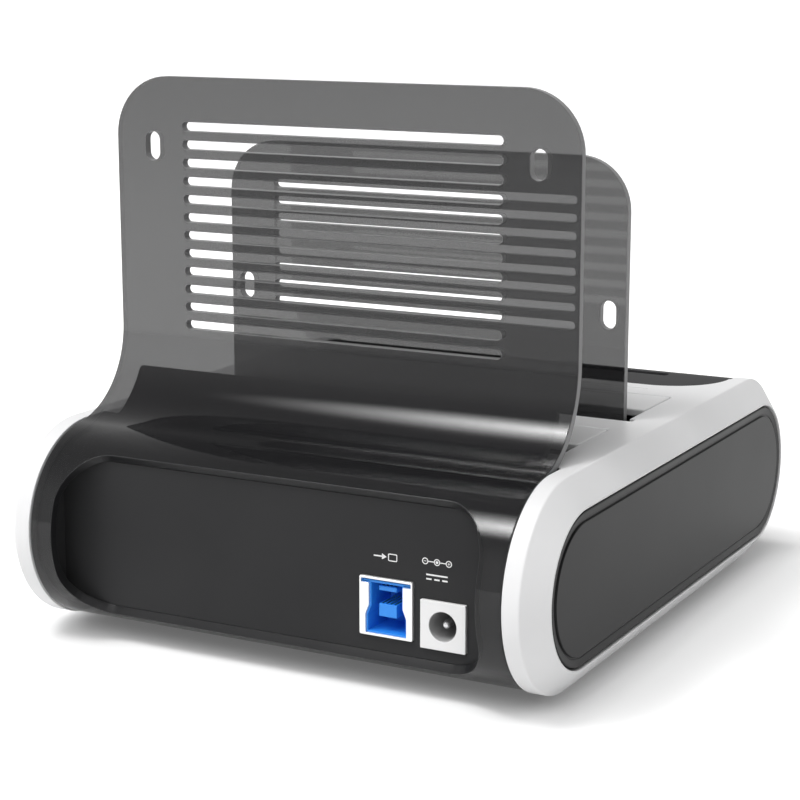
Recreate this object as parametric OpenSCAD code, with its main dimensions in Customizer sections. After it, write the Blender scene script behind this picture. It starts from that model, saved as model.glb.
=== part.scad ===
// Two-bay hard drive docking station, rear connectors, smoked drive guards.
// Front faces -Y, rear faces +Y, +Z is up. The origin is on the table, under the middle of the body.

/* [Drives] */
// Width of the widest drive that stands in a bay
drive_w = 101.6; // [95:0.1:110]
// Thickness of the thickest drive
drive_t = 26.1; // [22:0.1:32]
// Room left on each side of that drive, across its width
drive_side_gap = 0.8; // [0.4:0.1:1.5]
// Room left in front of that drive, across its thickness
drive_front_gap = 0.7; // [0.3:0.1:1.5]
// Open part of each bay, for a slim drive, beside the guard
slim_slot = 10.2; // [8:0.1:12]
// Distance from a drive's guard side to the middle of its socket
socket_back = 3.9; // [3.6:0.1:4.6]
// Distance of the drive sockets from the middle of the bay
socket_x = 20.7; // [12:0.1:24]

/* [Body] */
// Thickness of the body, which is also twice the radius of its round ends
body_h = 44.8; // [44:0.1:56]
// From the side of a bay to the edge of the flat deck
deck_margin = 8.7; // [8.6:0.1:14]
// Width of the sloping end faces, seen from the front
bevel_w = 4.6; // [4.5:0.1:8]
// How far the sloping end faces draw in the outline of the sides
bevel_h = 5.6; // [4:0.1:9]
// White rim on each side of the guard and of the front cover
rim_w = 3.8; // [3:0.1:4.2]
// Thickness of the rims, seen from the side
rim_t = 2.4; // [1.8:0.1:3]
// Thickness of the deck
deck_t = 2.2; // [1.6:0.1:2.6]
// How far the guard and the covers lie below the rims
recess = 0.3; // [0.1:0.05:0.6]
// Deck between the front bay and the front cover
front_deck = 10.9; // [10.6:0.1:20]
// From the front cover's edge on the deck to the front of the body
cover_depth = 38.7; // [34:0.1:45]
// Corner radius of the front cover on the deck
cover_corner = 15.5; // [6:0.5:18]
// Thickness of the moulded covers
cover_t = 2; // [1.4:0.1:2.4]
// Length of the thin seam on the deck in front of the bays
seam_l = 86; // [40:1:100]

/* [Side panels] */
// White lip that is left round a side panel
panel_lip = 0.4; // [0.3:0.1:1.5]
// How far the side panels sit behind the middle of the sides
panel_shift = 0.8; // [0:0.1:1.5]
// Depth of the pocket that holds a side panel
panel_pocket = 2.8; // [1.6:0.1:3.4]
// Width of the raised border of a side panel
panel_border = 1.9; // [1:0.1:5]
// Width of the groove inside that border
panel_groove = 0.6; // [0.4:0.1:1.2]

/* [Guards] */
// Thickness of the smoked acrylic sheet
sheet_t = 2; // [1.6:0.1:2.6]
// From the rear of the body to the rear face of the upright guard
guard_setback = 36.4; // [34:0.1:44]
// Height of the rear guard above the deck
guard_h = 74.9; // [50:0.1:100]
// Corner radius of the rear guard
guard_corner = 13.3; // [4:0.1:20]
// Radius of the bend between the body and the upright guard, on its rear face
bend_r = 20; // [14:0.5:26]
// Height of the middle guard above the deck
mid_guard_h = 58.1; // [40:0.1:90]
// Corner radius of the middle guard
mid_guard_corner = 12; // [4:0.1:18]
// How deep the middle guard stands in its groove
guard_foot = 12; // [6:0.5:16]
// Spacing of the vent slots
slot_pitch = 4; // [3:0.1:6]
// Height of a vent slot
slot_h = 2; // [1:0.1:2.5]
// Length of a vent slot
slot_l = 77.8; // [40:0.1:84]
// From the top of the rear guard to its first slot
slot_first = 10.8; // [8:0.1:16]
// From the top of the middle guard to its first slot
mid_slot_first = 9.9; // [8:0.1:14]
// Lowest slot of the middle guard, above the deck
mid_slot_floor = 19; // [10:0.5:30]
// Distance of the upright holes from the middle of a guard
hole_x = 46.8; // [45:0.1:48]
// Width of an upright hole
hole_w = 3.7; // [2:0.1:4]
// Height of an upright hole
hole_h = 6.4; // [5:0.1:8]
// From the top of the rear guard to the middle of its upright holes
hole_drop = 15.3; // [14:0.1:22]
// Height of the middle guard's upright holes above the deck
mid_hole_z = 23.3; // [16:0.1:30]
// How far the shell's flange backs the bend, above the deck
flange_h = 9.8; // [4:0.1:16]

/* [Connector panel] */
// How deep the flat connector panel lies in the round of the rear
panel_depth = 10.4; // [9.8:0.1:11]
// Half height of the guard's window round the panel
window_half_h = 17.8; // [16:0.1:19]
// White rim to window distance, across the guard
window_margin = 5.4; // [5:0.1:12]
// Corner radius of the window
window_corner = 10; // [3:0.5:14]
// Width of the data socket's shell
data_w = 12.2; // [11.5:0.1:13]
// Height of the data socket's shell
data_h = 12.5; // [11.8:0.1:13.5]
// Length of the data socket
data_l = 16.5; // [13:0.1:18]
// Distance of the data socket from the middle
data_x = 26.1; // [20:0.1:26.4]
// Height of the data socket's shell above the board
data_lift = 0.8; // [0.6:0.1:1.6]
// Side of the square power jack
jack_side = 10.2; // [9.5:0.1:10.8]
// Length of the power jack
jack_l = 13; // [12:0.1:15]
// Distance of the power jack from the middle
jack_x = 39.1; // [38.6:0.1:42]
// Radius of the power jack's hole
jack_bore_r = 3.05; // [2.8:0.05:3.4]
// Radius of the power jack's centre pin
jack_pin_r = 0.9; // [0.6:0.05:1.2]
// How far both connectors stand out of the panel
connector_proud = 0.6; // [0.2:0.1:1.2]

/* [Flaps] */
// Thickness of a flap
flap_t = 1.8; // [1.4:0.1:2.2]
// Radius of a flap's hinge pin
pin_r = 1; // [0.8:0.05:1.2]
// Radius of the barrels that turn on the pin
barrel_r = 1.9; // [1.7:0.05:2]
// Depth of the pin below the deck
pin_drop = 4.4; // [4.4:0.1:5.4]
// Width of a flap's hinge arm
arm_w = 5; // [3:0.5:8]
// Thickness of the liners' end walls
liner_t = 1.2; // [1:0.1:1.8]
// Thickness of the liners' side walls and floor
liner_side_t = 1.8; // [1.5:0.1:2.2]

/* [Inside] */
// Height of the feet
foot_h = 2.2; // [1.5:0.1:5]
// Radius of a foot
foot_r = 5; // [4:0.5:7]
// Thickness of the base
base_t = 2; // [1.6:0.1:2.4]
// Thickness of the circuit boards
board_t = 1.6; // [1:0.1:2]
// Height of the board's standoffs
standoff_h = 4.9; // [4.6:0.1:6]
// Height of a drive socket above the board
socket_h = 9; // [8.5:0.1:12]
// Travel of the push buttons
button_travel = 0.5; // [0.3:0.05:0.6]
// Radius of the push buttons
button_r = 5; // [4:0.1:6.5]
// Distance of the push buttons from the middle
button_x = 28; // [20:0.5:30]
// Length of the status light slit
slit_l = 81; // [50:1:96]

/* [Hidden] */
$fn = 64;

// Clearances: pieces that sit together, pieces that move past each other, a pin in its hole
fit_gap = 0.1;
run_gap = 0.3;
pin_gap = 0.06;
eps = 0.01;

// Heights
mid_z = foot_h + body_h / 2;
deck_z = foot_h + body_h;
end_r = body_h / 2;
sheet_r = end_r - recess;
under_z = mid_z - sheet_r;
tail_z = under_z + max(sheet_t, cover_t, base_t) + fit_gap;
board_z = under_z + base_t + standoff_h;
board_top = board_z + board_t;
well_z = board_top + socket_h - 1;
liner_top = deck_z - deck_t - fit_gap;

// Lengths, from the rear forward
bay_w = drive_w + 2 * drive_side_gap;
bay_t = drive_t + drive_front_gap;
hinge_room = pin_drop + fit_gap + barrel_r + run_gap;
liner_gap = 0.2;
bay_pitch = bay_t + hinge_room + 2 * liner_t + liner_gap + fit_gap + sheet_t;
body_l = guard_setback + sheet_t + bay_pitch + bay_t + front_deck + cover_depth;
end_y = body_l / 2 - end_r;
guard_y = body_l / 2 - guard_setback;
bay_rear_y = guard_y - sheet_t;
bay_front_y = bay_rear_y - bay_pitch;
cover_y = cover_depth - body_l / 2;
panel_y = body_l / 2 - panel_depth;

// Widths
crease_x = bay_w / 2 + deck_margin;
side_x = crease_x + bevel_w;
rim_x = crease_x - rim_w;
guard_x = rim_x - run_gap;
flange_inset = 4.4;
flange_x = guard_x - flange_inset;
mid_guard_gap = 0.6;
mid_guard_x = bay_w / 2 - mid_guard_gap;
groove_wall = 0.4;
groove_x = bay_w / 2 + liner_side_t - groove_wall;
window_x = guard_x - window_margin;

// The two round bends of the rear guard meet where the line of their centres crosses them
bend_y = guard_y + bend_r;
bend_z = mid_z + sqrt(pow(bend_r + sheet_r, 2) - pow(bend_y - end_y, 2));

// Hinge pin of the bay whose guard face is at y0
function pin_y(y0) = y0 - bay_t - fit_gap - pin_drop;
pin_z = deck_z - pin_drop;
function liner_front_y(y0) = pin_y(y0) - barrel_r - run_gap;

// Screws, posts and standoffs
screw_r = 1.4;
screw_hole_r = 1.5;
head_r = 2.6;
head_h = 1.2;
cross_l = 2.6;
cross_w = 0.6;
cross_deep = 0.5;
base_screw_l = 11;
guard_screw_l = 5.2;
board_screw_l = 5.5;
post_r = 3.2;
post_inset = 1.2;
post_gap = 0.4;
post_x = guard_x - post_r - post_inset;
post_y_rear = bay_rear_y + liner_t + post_r + post_gap;
post_y_front = liner_front_y(bay_front_y) - liner_t - post_r - post_gap;
post_z = tail_z + max(cover_t, base_t) + fit_gap;
standoff_x = 42;
standoff_y = [bay_rear_y - 12, bay_front_y - 22];
foot_side_inset = 11;
foot_x = guard_x - foot_side_inset;
foot_rear_inset = 5;
foot_front_inset = 26;
foot_y = [bay_rear_y - foot_rear_inset, bay_front_y - foot_front_inset];
base_rear_y = post_y_rear + 5.3;
base_front_y = post_y_front + 5.2;
guard_screw_x = [-32, 0, 32];
guard_screw_y = (base_rear_y + end_y) / 2;
board_x = post_x - post_r - 1.3;
board_rear_y = end_y + 8.9;
board_front_y = 1.5 - end_y - 8;

// Front controls
button_board_y = -end_y - 9.5;
switch_side = 6;
switch_h = 3.5;
stem_r = 1.5;
slit_y = 0.7 - end_y;
slit_w = 1.2;
light_x = [-20, 0, 20];
light_z = mid_z + 11.5;
light_h = 2.5;
light_w = 4;

// Shapes used by several pieces

// An outline drawn as (y, z), pulled out along X about the middle
module along_x(width) {
  rotate([90, 0, 90]) linear_extrude(width, center = true) children();
}

// An outline drawn as (x, z), pulled out along Y between two places
module along_y(y_low, y_high) {
  translate([0, y_high, 0]) rotate([90, 0, 0]) linear_extrude(y_high - y_low) children();
}

module block(x_range, y_range, z_range) {
  translate([x_range[0], y_range[0], z_range[0]])
    cube([x_range[1] - x_range[0], y_range[1] - y_range[0], z_range[1] - z_range[0]]);
}

module post(x, y, z_low, z_high, r) {
  translate([x, y, z_low]) cylinder(h = z_high - z_low, r = r);
}

module rod_x(y, z, r, width) {
  translate([-width / 2, y, z]) rotate([0, 90, 0]) cylinder(h = width, r = r);
}

module rod_y(x, z, r, y_low, y_high) {
  translate([x, y_low, z]) rotate([-90, 0, 0]) cylinder(h = y_high - y_low, r = r);
}

// Side outline of the body: a bar with round ends
module body_outline(r) {
  for (y = [-end_y, end_y]) translate([y, mid_z]) circle(r);
  translate([-end_y, mid_z - r]) square([2 * end_y, 2 * r]);
}

// Rectangle with round corners, about the middle
module round_rect(w, h, r) {
  for (x = [-1, 1], y = [-1, 1]) translate([x * (w / 2 - r), y * (h / 2 - r)]) circle(r);
  square([w - 2 * r, h], center = true);
  square([w, h - 2 * r], center = true);
}

// A slot with round ends, lying along the first axis
module slot_outline(length, height) {
  for (x = [-1, 1]) translate([x * (length - height) / 2, 0]) circle(height / 2);
  square([length - height, height], center = true);
}

// Layer of the rear wrap, between two depths below the guard's rear face:
// tail under the base, round bulge, bend and upright, up to a height
module wrap_outline(near, far, tail_y, top_z) {
  reach = 2 * body_h;
  bulge = [end_y, mid_z];
  bend = [bend_y, bend_z];
  translate([tail_y, under_z + near]) square([end_y - tail_y, far - near]);
  intersection() {
    translate(bulge) difference() {
      circle(sheet_r - near);
      circle(sheet_r - far);
    }
    polygon([bulge, bulge - [0, reach], bulge + [reach, -reach], [end_y + reach, bend_z], bend]);
  }
  intersection() {
    translate(bend) difference() {
      circle(bend_r + far);
      circle(bend_r + near);
    }
    polygon([bend, bend - [reach, 0], [bend_y - reach, mid_z], bulge]);
    translate([-body_l, 0]) square([2 * body_l, top_z]);
  }
  if (top_z > bend_z)
    translate([guard_y - far, bend_z]) square([far - near, top_z - bend_z]);
}

// Footprint of the front cover on the deck, larger by the given gap
module cover_footprint(gap) {
  length = body_l;
  translate([0, cover_y + gap - length / 2])
    round_rect(2 * (guard_x + gap), length, cover_corner + gap);
}

// Rows of vent slots and the two upright holes of a guard, as (x, z)
module guard_vents(first_z, count, hole_z) {
  for (i = [0 : count - 1]) translate([0, first_z - i * slot_pitch]) slot_outline(slot_l, slot_h);
  for (x = [-hole_x, hole_x]) translate([x, hole_z]) rotate(90) slot_outline(hole_h, hole_w);
}

// White top housing: deck with two drive openings, two rims and four screw posts
seam_y = bay_front_y - bay_t - 6.1;
seam_w = 0.5;
seam_deep = 0.3;

module top_housing() {
  deck_rear = bend_y - sqrt(pow(bend_r + 2 * sheet_t + 2, 2) - pow(bend_z - deck_z, 2)) - run_gap;
  deck_rear_side = bend_y - sqrt(pow(bend_r + sheet_t, 2) - pow(bend_z - deck_z, 2)) - 0.8;
  ledge_z = mid_z + sheet_r - cover_t - fit_gap;
  ledge_t = 1.8;
  ledge_rear = liner_front_y(bay_front_y) - liner_t - fit_gap;
  color("whitesmoke") difference() {
    union() {
      for (side = [-1, 1]) translate([side * (rim_x + crease_x) / 2, 0, 0])
        along_x(rim_w) difference() {
          body_outline(end_r);
          body_outline(end_r - rim_t);
        }
      difference() {
        intersection() {
          along_x(2 * rim_x + 0.2) difference() {
            body_outline(end_r);
            body_outline(end_r - deck_t);
          }
          block([-crease_x, crease_x], [cover_y - cover_corner, deck_rear_side], [mid_z, deck_z + 1]);
        }
        translate([0, 0, mid_z]) linear_extrude(body_h) cover_footprint(run_gap / 2);
        block([-flange_x - run_gap, flange_x + run_gap], [deck_rear, end_y], [mid_z, deck_z + 1]);
      }
      block([-flange_x, flange_x], [cover_y - 6, ledge_rear], [ledge_z - ledge_t, ledge_z]);
      block([-flange_x, flange_x], [cover_y + 0.6, ledge_rear], [ledge_z - ledge_t, deck_z - deck_t / 2]);
      for (x = [-post_x, post_x]) {
        post(x, post_y_rear, post_z, deck_z - deck_t / 2, post_r);
        post(x, post_y_front, post_z, ledge_z - 0.5, post_r);
      }
    }
    for (y0 = [bay_rear_y, bay_front_y])
      block([-bay_w / 2, bay_w / 2], [y0 - bay_t, y0], [liner_top - 5, deck_z + 1]);
    block([-groove_x, groove_x], [bay_front_y - fit_gap, bay_front_y + sheet_t + fit_gap],
          [liner_top - 5, deck_z + 1]);
    block([-seam_l / 2, seam_l / 2], [seam_y - seam_w, seam_y], [deck_z - seam_deep, deck_z + 1]);
    for (x = [-post_x, post_x], y = [post_y_rear, post_y_front])
      post(x, y, post_z - 1, post_z + base_screw_l, screw_hole_r);
  }
}

// White end cap with a sloping face all round, a pocket for the side panel and four snap hooks
hook_y = 30;
hook_w = 8;
hook_t = 1.6;
hook_reach = 0.4;

module end_frame() {
  small_r = end_r - bevel_h;
  hook_z = end_r - rim_t - run_gap;
  difference() {
    union() {
      for (y = [-end_y, end_y]) translate([crease_x, y, mid_z]) rotate([0, 90, 0])
        cylinder(h = bevel_w, r1 = end_r, r2 = small_r);
      translate([0, end_y, mid_z]) rotate([90, 0, 0]) linear_extrude(2 * end_y) polygon([
        [crease_x, -end_r], [side_x, -small_r], [side_x, small_r], [crease_x, end_r]
      ]);
      for (y = [-hook_y, hook_y], up = [-1, 1])
        translate([0, y, mid_z + up * (hook_z - hook_t / 2)])
          block([rim_x + hook_reach, crease_x + 1], [-hook_w / 2, hook_w / 2], [-hook_t / 2, hook_t / 2]);
    }
    translate([side_x - panel_pocket / 2 + 0.5, panel_shift, 0])
      along_x(panel_pocket + 1) body_outline(small_r - panel_lip);
  }
}

module end_frame_right() { color("whitesmoke") end_frame(); }
module end_frame_left() { color("whitesmoke") mirror([1, 0, 0]) end_frame(); }

// Dark oval side panel with a raised border
module side_panel() {
  panel_r = end_r - bevel_h - panel_lip - 2 * fit_gap;
  face_drop = 0.2;
  face_x = side_x - face_drop;
  back_x = side_x - panel_pocket;
  groove_deep = 0.4;
  difference() {
    translate([(face_x + back_x) / 2, panel_shift, 0]) along_x(face_x - back_x) body_outline(panel_r);
    translate([face_x, panel_shift, 0]) along_x(2 * groove_deep) difference() {
      body_outline(panel_r - panel_border);
      body_outline(panel_r - panel_border - panel_groove);
    }
  }
}

module side_panel_right() { color("#3c3c3e") side_panel(); }
module side_panel_left() { color("#3c3c3e") mirror([1, 0, 0]) side_panel(); }

// Smoked rear guard: one bent sheet with a window for the connectors
module rear_guard() {
  top_z = deck_z + guard_h;
  count = floor((guard_h - slot_first - (bend_z - deck_z)) / slot_pitch) + 1;
  color([0.25, 0.25, 0.27, 0.6]) difference() {
    intersection() {
      along_x(2 * guard_x) wrap_outline(0, sheet_t, base_rear_y + run_gap, top_z);
      along_y(-body_l, body_l) translate([0, top_z - body_l])
        round_rect(2 * guard_x, 2 * body_l, guard_corner);
    }
    along_y(guard_y - sheet_t - 1, guard_y + 1)
      guard_vents(top_z - slot_first, count, top_z - hole_drop);
    along_y(end_y + 2, body_l) translate([0, mid_z])
      round_rect(2 * window_x, 2 * window_half_h, window_corner);
    for (x = guard_screw_x) post(x, guard_screw_y, 0, mid_z, screw_hole_r + 0.1);
  }
}

// Black rear shell: backs the guard, carries the flat connector panel
module rear_shell() {
  inner = sheet_t + fit_gap;
  shell_tail_y = post_y_rear - 4.5;
  boss_x = 16;
  shell_end_t = 1.5;
  recess_x = guard_x - shell_end_t;
  boss_z = under_z + inner + cover_t - 0.2;
  wide_y = bend_y - sqrt(pow(bend_r + sheet_t, 2) - pow(bend_z - deck_z, 2)) - 0.5;
  panel_half_h = sqrt(pow(sheet_r - inner, 2) - pow(panel_y - cover_t - end_y, 2));
  color("#2b2b2d") difference() {
    union() {
      difference() {
        along_x(2 * guard_x) wrap_outline(inner, inner + cover_t, shell_tail_y, deck_z + flange_h);
        for (side = [-1, 1])
          translate([side * (flange_x + body_l / 2), wide_y - body_l / 2, mid_z + body_l / 2])
            cube(body_l, center = true);
        block([-recess_x, recess_x], [panel_y, body_l], [0, deck_z]);
      }
      intersection() {
        block([-guard_x + fit_gap, guard_x - fit_gap], [panel_y - cover_t, panel_y],
              [mid_z - panel_half_h - 1, mid_z + panel_half_h + 1]);
        along_x(2 * guard_x) translate([end_y, mid_z]) circle(sheet_r - inner);
      }
      for (x = guard_screw_x) post(x, guard_screw_y, boss_z, board_z - 0.4, post_r);
      for (x = [-boss_x, boss_x]) post(x, end_y - 1, boss_z, board_z, post_r);
    }
    translate([-data_x, 0, data_mid_z]) along_y(end_y, body_l)
      square([data_w + 2 * fit_gap, data_h + 2 * fit_gap], center = true);
    translate([-jack_x, 0, jack_z]) along_y(end_y, body_l)
      square([jack_side + 2 * fit_gap, jack_side + 2 * fit_gap], center = true);
    for (x = guard_screw_x) post(x, guard_screw_y, 0, board_z - 1, screw_hole_r);
    for (x = [-post_x, post_x]) post(x, post_y_rear, 0, mid_z, screw_hole_r + 0.1);
  }
}

// Smoked middle guard, flat, with a wider foot that slides into the liner's end slots
module middle_guard() {
  top_z = deck_z + mid_guard_h;
  foot_z = deck_z - guard_foot;
  foot_x_half = groove_x - fit_gap;
  count = floor((mid_guard_h - mid_slot_first - mid_slot_floor) / slot_pitch) + 1;
  color([0.25, 0.25, 0.27, 0.6]) along_y(bay_front_y, bay_front_y + sheet_t) difference() {
    union() {
      intersection() {
        translate([0, top_z - body_l]) round_rect(2 * mid_guard_x, 2 * body_l, mid_guard_corner);
        translate([-body_l, foot_z]) square(2 * body_l);
      }
      translate([-foot_x_half, foot_z]) square([2 * foot_x_half, guard_foot - deck_t - 1]);
    }
    guard_vents(top_z - mid_slot_first, count, deck_z + mid_hole_z);
  }
}

// Dark front cover: set into the deck, wraps the front, with a light slit and two button holes
module front_cover() {
  tail_y = base_front_y - run_gap;
  color("#3a3a3c") difference() {
    along_x(2 * guard_x) difference() {
      body_outline(sheet_r);
      body_outline(sheet_r - cover_t);
    }
    difference() {
      block([-body_l, body_l], [-body_l, body_l], [mid_z, deck_z + 1]);
      translate([0, 0, mid_z - 1]) linear_extrude(body_h) cover_footprint(0);
    }
    block([-body_l, body_l], [tail_y, body_l], [0, mid_z + eps]);
    block([-slit_l / 2, slit_l / 2], [slit_y - slit_w / 2, slit_y + slit_w / 2], [mid_z, deck_z + 1]);
    for (x = [-button_x, button_x]) rod_y(x, mid_z, button_r + run_gap, -body_l, -end_y - 2);
    for (x = [-post_x, post_x]) {
      post(x, post_y_front, 0, mid_z, screw_hole_r + 0.1);
      post(x, post_y_front, 0, under_z + head_h + 0.1, head_r + 0.2);
    }
  }
}

// Black base with board standoffs and a front lip that holds the front cover's tail
module base_tray() {
  lip_front_y = post_y_front - 5;
  lip_l = 6;
  color("#2b2b2d") difference() {
    union() {
      block([-guard_x, guard_x], [base_front_y, base_rear_y], [under_z, under_z + base_t]);
      block([-guard_x, guard_x], [lip_front_y, base_front_y + lip_l], [tail_z, tail_z + base_t]);
      block([-guard_x, guard_x], [base_front_y, base_front_y + lip_l],
            [under_z + base_t / 2, tail_z + base_t / 2]);
      for (x = [-standoff_x, standoff_x], y = standoff_y) post(x, y, under_z + base_t / 2, board_z, post_r);
    }
    for (x = [-standoff_x, standoff_x], y = standoff_y) post(x, y, board_z - 5, board_z + 1, screw_hole_r);
    for (x = [-post_x, post_x], y = [post_y_rear, post_y_front]) {
      post(x, y, 0, mid_z, screw_hole_r + 0.1);
      post(x, y, 0, under_z + head_h + 0.1, head_r + 0.2);
    }
    for (x = [-foot_x, foot_x], y = foot_y) post(x, y, 0, under_z + 0.5, foot_r + fit_gap);
  }
}

// Four rubber feet in shallow pockets of the base
module feet() {
  color("#1c1c1c") for (x = [-foot_x, foot_x], y = foot_y) {
    translate([x, y, 0]) cylinder(h = 0.6, r1 = foot_r - 0.6, r2 = foot_r);
    post(x, y, 0.6, under_z + 0.5, foot_r);
  }
}

// Pan head screw pointing up, head at the bottom
module screw(x, y, head_z, length) {
  difference() {
    union() {
      post(x, y, head_z, head_z + head_h, head_r);
      post(x, y, head_z + head_h - eps, head_z + head_h + length, screw_r);
    }
    for (turn = [0, 90]) translate([x, y, head_z]) rotate(turn)
      cube([cross_l, cross_w, 2 * cross_deep], center = true);
  }
}

module base_screws() {
  color("silver") for (x = [-post_x, post_x], y = [post_y_rear, post_y_front])
    screw(x, y, under_z + 0.1, base_screw_l);
}

module guard_screws() {
  color("silver") for (x = guard_screw_x) screw(x, guard_screw_y, under_z - head_h, guard_screw_l);
}

// Black well of one bay: open at the top, socket opening in its floor, pin holes in its sides
module bay_liner(y0, guard_pocket) {
  outer_x = bay_w / 2 + liner_side_t;
  front_y = liner_front_y(y0);
  rear_y = y0 + liner_t + guard_pocket * (sheet_t + fit_gap);
  hole_half_w = socket_w / 2 + run_gap;
  hole_half_d = socket_d / 2 + run_gap;
  difference() {
    block([-outer_x, outer_x], [front_y - liner_t, rear_y], [well_z - liner_side_t, liner_top]);
    block([-bay_w / 2, bay_w / 2], [front_y, y0], [well_z, liner_top + 1]);
    if (guard_pocket > 0)
      block([-groove_x, groove_x], [y0 - fit_gap, y0 + sheet_t + fit_gap],
            [deck_z - guard_foot, liner_top + 1]);
    translate([socket_x, y0 - socket_back, 0])
      block([-hole_half_w, hole_half_w], [-hole_half_d, hole_half_d], [0, well_z + 1]);
    rod_x(pin_y(y0), pin_z, pin_r + pin_gap, 4 * outer_x);
  }
}

module bay_liner_rear() { color("#242426") bay_liner(bay_rear_y, 0); }
module bay_liner_front() { color("#242426") bay_liner(bay_front_y, 1); }

// White flap with four hinge arms under its front edge
module flap(y0) {
  free_y = y0 - slim_slot;
  edge_y = y0 - bay_t + run_gap;
  half_w = bay_w / 2 - run_gap;
  py = pin_y(y0);
  arm_top = deck_z - deck_t - run_gap;
  arm_pitch = 28;
  difference() {
    union() {
      block([-half_w, half_w], [edge_y, free_y - flap_t / 2], [deck_z - flap_t, deck_z]);
      rod_x(free_y - flap_t / 2, deck_z - flap_t / 2, flap_t / 2, 2 * half_w);
      for (i = [0 : 3]) translate([(i - 1.5) * arm_pitch, 0, 0]) {
        rod_x(py, pin_z, barrel_r, arm_w);
        along_x(arm_w) polygon([
          [py, min(arm_top, pin_z + barrel_r)],
          [edge_y, min(arm_top, pin_z + barrel_r)],
          [edge_y, deck_z - flap_t / 2],
          [edge_y + 6, deck_z - flap_t / 2],
          [edge_y + 1, pin_z - 0.4],
          [py, pin_z - barrel_r]
        ]);
      }
    }
    rod_x(py, pin_z, pin_r + pin_gap, 2 * bay_w);
  }
}

module flap_rear() { color("white") flap(bay_rear_y); }
module flap_front() { color("white") flap(bay_front_y); }

// Steel hinge pin, held in the liner's side walls
module flap_pin(y0) {
  rod_x(pin_y(y0), pin_z, pin_r, bay_w + 2 * (liner_side_t - 0.3));
}

module flap_pin_rear() { color("silver") flap_pin(bay_rear_y); }
module flap_pin_front() { color("silver") flap_pin(bay_front_y); }

// Torsion spring: wire wound on the hinge pin, in the middle of the flap
wire_r = 0.28;
coil_r = pin_r + wire_r + 0.26;
coil_turns = 5;
coil_step = 3 * wire_r;
ring_steps = 12;
wire_sides = 6;

function wire_ring(i) = let(turn = 360 * i / ring_steps) [
  for (k = [0 : wire_sides - 1]) let(a = 360 * k / wire_sides, r = coil_r + wire_r * cos(a))
    [coil_step * (i / ring_steps - coil_turns / 2) + wire_r * sin(a), r * cos(turn), r * sin(turn)]
];

module flap_spring(y0) {
  rings = coil_turns * ring_steps;
  points = [for (i = [0 : rings]) each wire_ring(i)];
  sides = [
    for (i = [0 : rings - 1], k = [0 : wire_sides - 1])
      let(a = i * wire_sides + k, b = i * wire_sides + (k + 1) % wire_sides)
      each [[a, b, b + wire_sides], [a, b + wire_sides, a + wire_sides]]
  ];
  last = rings * wire_sides;
  caps = [
    for (k = [1 : wire_sides - 2])
      each [[0, k + 1, k], [last, last + k, last + k + 1]]
  ];
  translate([0, pin_y(y0), pin_z]) polyhedron(points, concat(sides, caps));
}

module flap_spring_rear() { color("gray") flap_spring(bay_rear_y); }
module flap_spring_front() { color("gray") flap_spring(bay_front_y); }

// Main circuit board on the standoffs of the base
module main_board() {
  color("darkgreen") difference() {
    block([-board_x, board_x], [board_front_y, board_rear_y], [board_z, board_top]);
    for (x = [-standoff_x, standoff_x], y = standoff_y)
      post(x, y, board_z - 1, board_top + 1, screw_hole_r + 0.1);
  }
}

module board_screws() {
  color("silver") for (x = [-standoff_x, standoff_x], y = standoff_y)
    translate([x, y, board_top + head_h]) mirror([0, 0, 1]) screw(0, 0, 0, board_screw_l);
}

// Chip with a row of leads along two sides
lead_l = 1.2;
lead_w = 0.3;
lead_t = 0.4;

module chip(place, size, leads) {
  lead_step = size[1] / (leads + 1);
  translate([place[0], place[1], board_top]) {
    translate([-size[0] / 2, -size[1] / 2, 0]) cube(size);
    for (i = [0 : leads - 1], side = [-1, 1])
      translate([side * (size[0] + lead_l / 1.5) / 2, (i - (leads - 1) / 2) * lead_step, lead_t / 2])
        cube([lead_l, lead_w, lead_t], center = true);
  }
}

bridge_chip_size = [12, 12, 1.4];
bridge_chip_place = [-24, bay_rear_y - 18];
bridge_chip_leads = 16;

module bridge_chip() { color("#222") chip(bridge_chip_place, bridge_chip_size, bridge_chip_leads); }

small_chip_size = [4, 5, 1.5];
small_chip_places = [[30, bay_rear_y - 17], [-30, bay_front_y - 10], [-24, bay_front_y - 24]];
small_chip_leads = 4;

module small_chips() {
  color("#222") for (place = small_chip_places) chip(place, small_chip_size, small_chip_leads);
}

// Upright electrolytic capacitors behind the rear bay
can_x = [-8, 0, 20, 28];
can_y = board_rear_y - 15.5;
can_r = 3.15;
can_h = 8;
can_top_r = 2.7;
can_top_h = 0.6;

module capacitors() {
  color("#334") for (x = can_x) {
    post(x, can_y, board_top, board_top + can_h, can_r);
    post(x, can_y, board_top + can_h - 0.1, board_top + can_h + can_top_h, can_top_r);
  }
}

// Square power coils with a round top
choke_x = [-40, 38];
choke_y = board_rear_y - 17;
choke_side = 7;
choke_h = 3;
choke_top_r = 3;
choke_top_h = 0.8;

module coils() {
  color("#555") for (x = choke_x) translate([x, choke_y, board_top]) {
    translate([-choke_side / 2, -choke_side / 2, 0]) cube([choke_side, choke_side, choke_h]);
    cylinder(h = choke_h + choke_top_h, r = choke_top_r);
  }
}

// Crystal in a low oval can
crystal_place = [-38, bay_rear_y - 18];
crystal_l = 11;
crystal_w = 4.6;
crystal_h = 3.2;

module crystal() {
  color("silver") translate([crystal_place[0], crystal_place[1], board_top])
    linear_extrude(crystal_h) slot_outline(crystal_l, crystal_w);
}

// Drive socket: housing with a data and a power slot, standing on the board
socket_w = 45;
socket_d = 6.6;
data_slot = 11;
power_slot = 21;
slot_deep = 6.5;
slot_gap = 2.6;
slots_end = 18.6;
guide_x = 20.8;
guide_w = 2.4;
guide_d = 2.8;
guide_h = 2.4;

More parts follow.
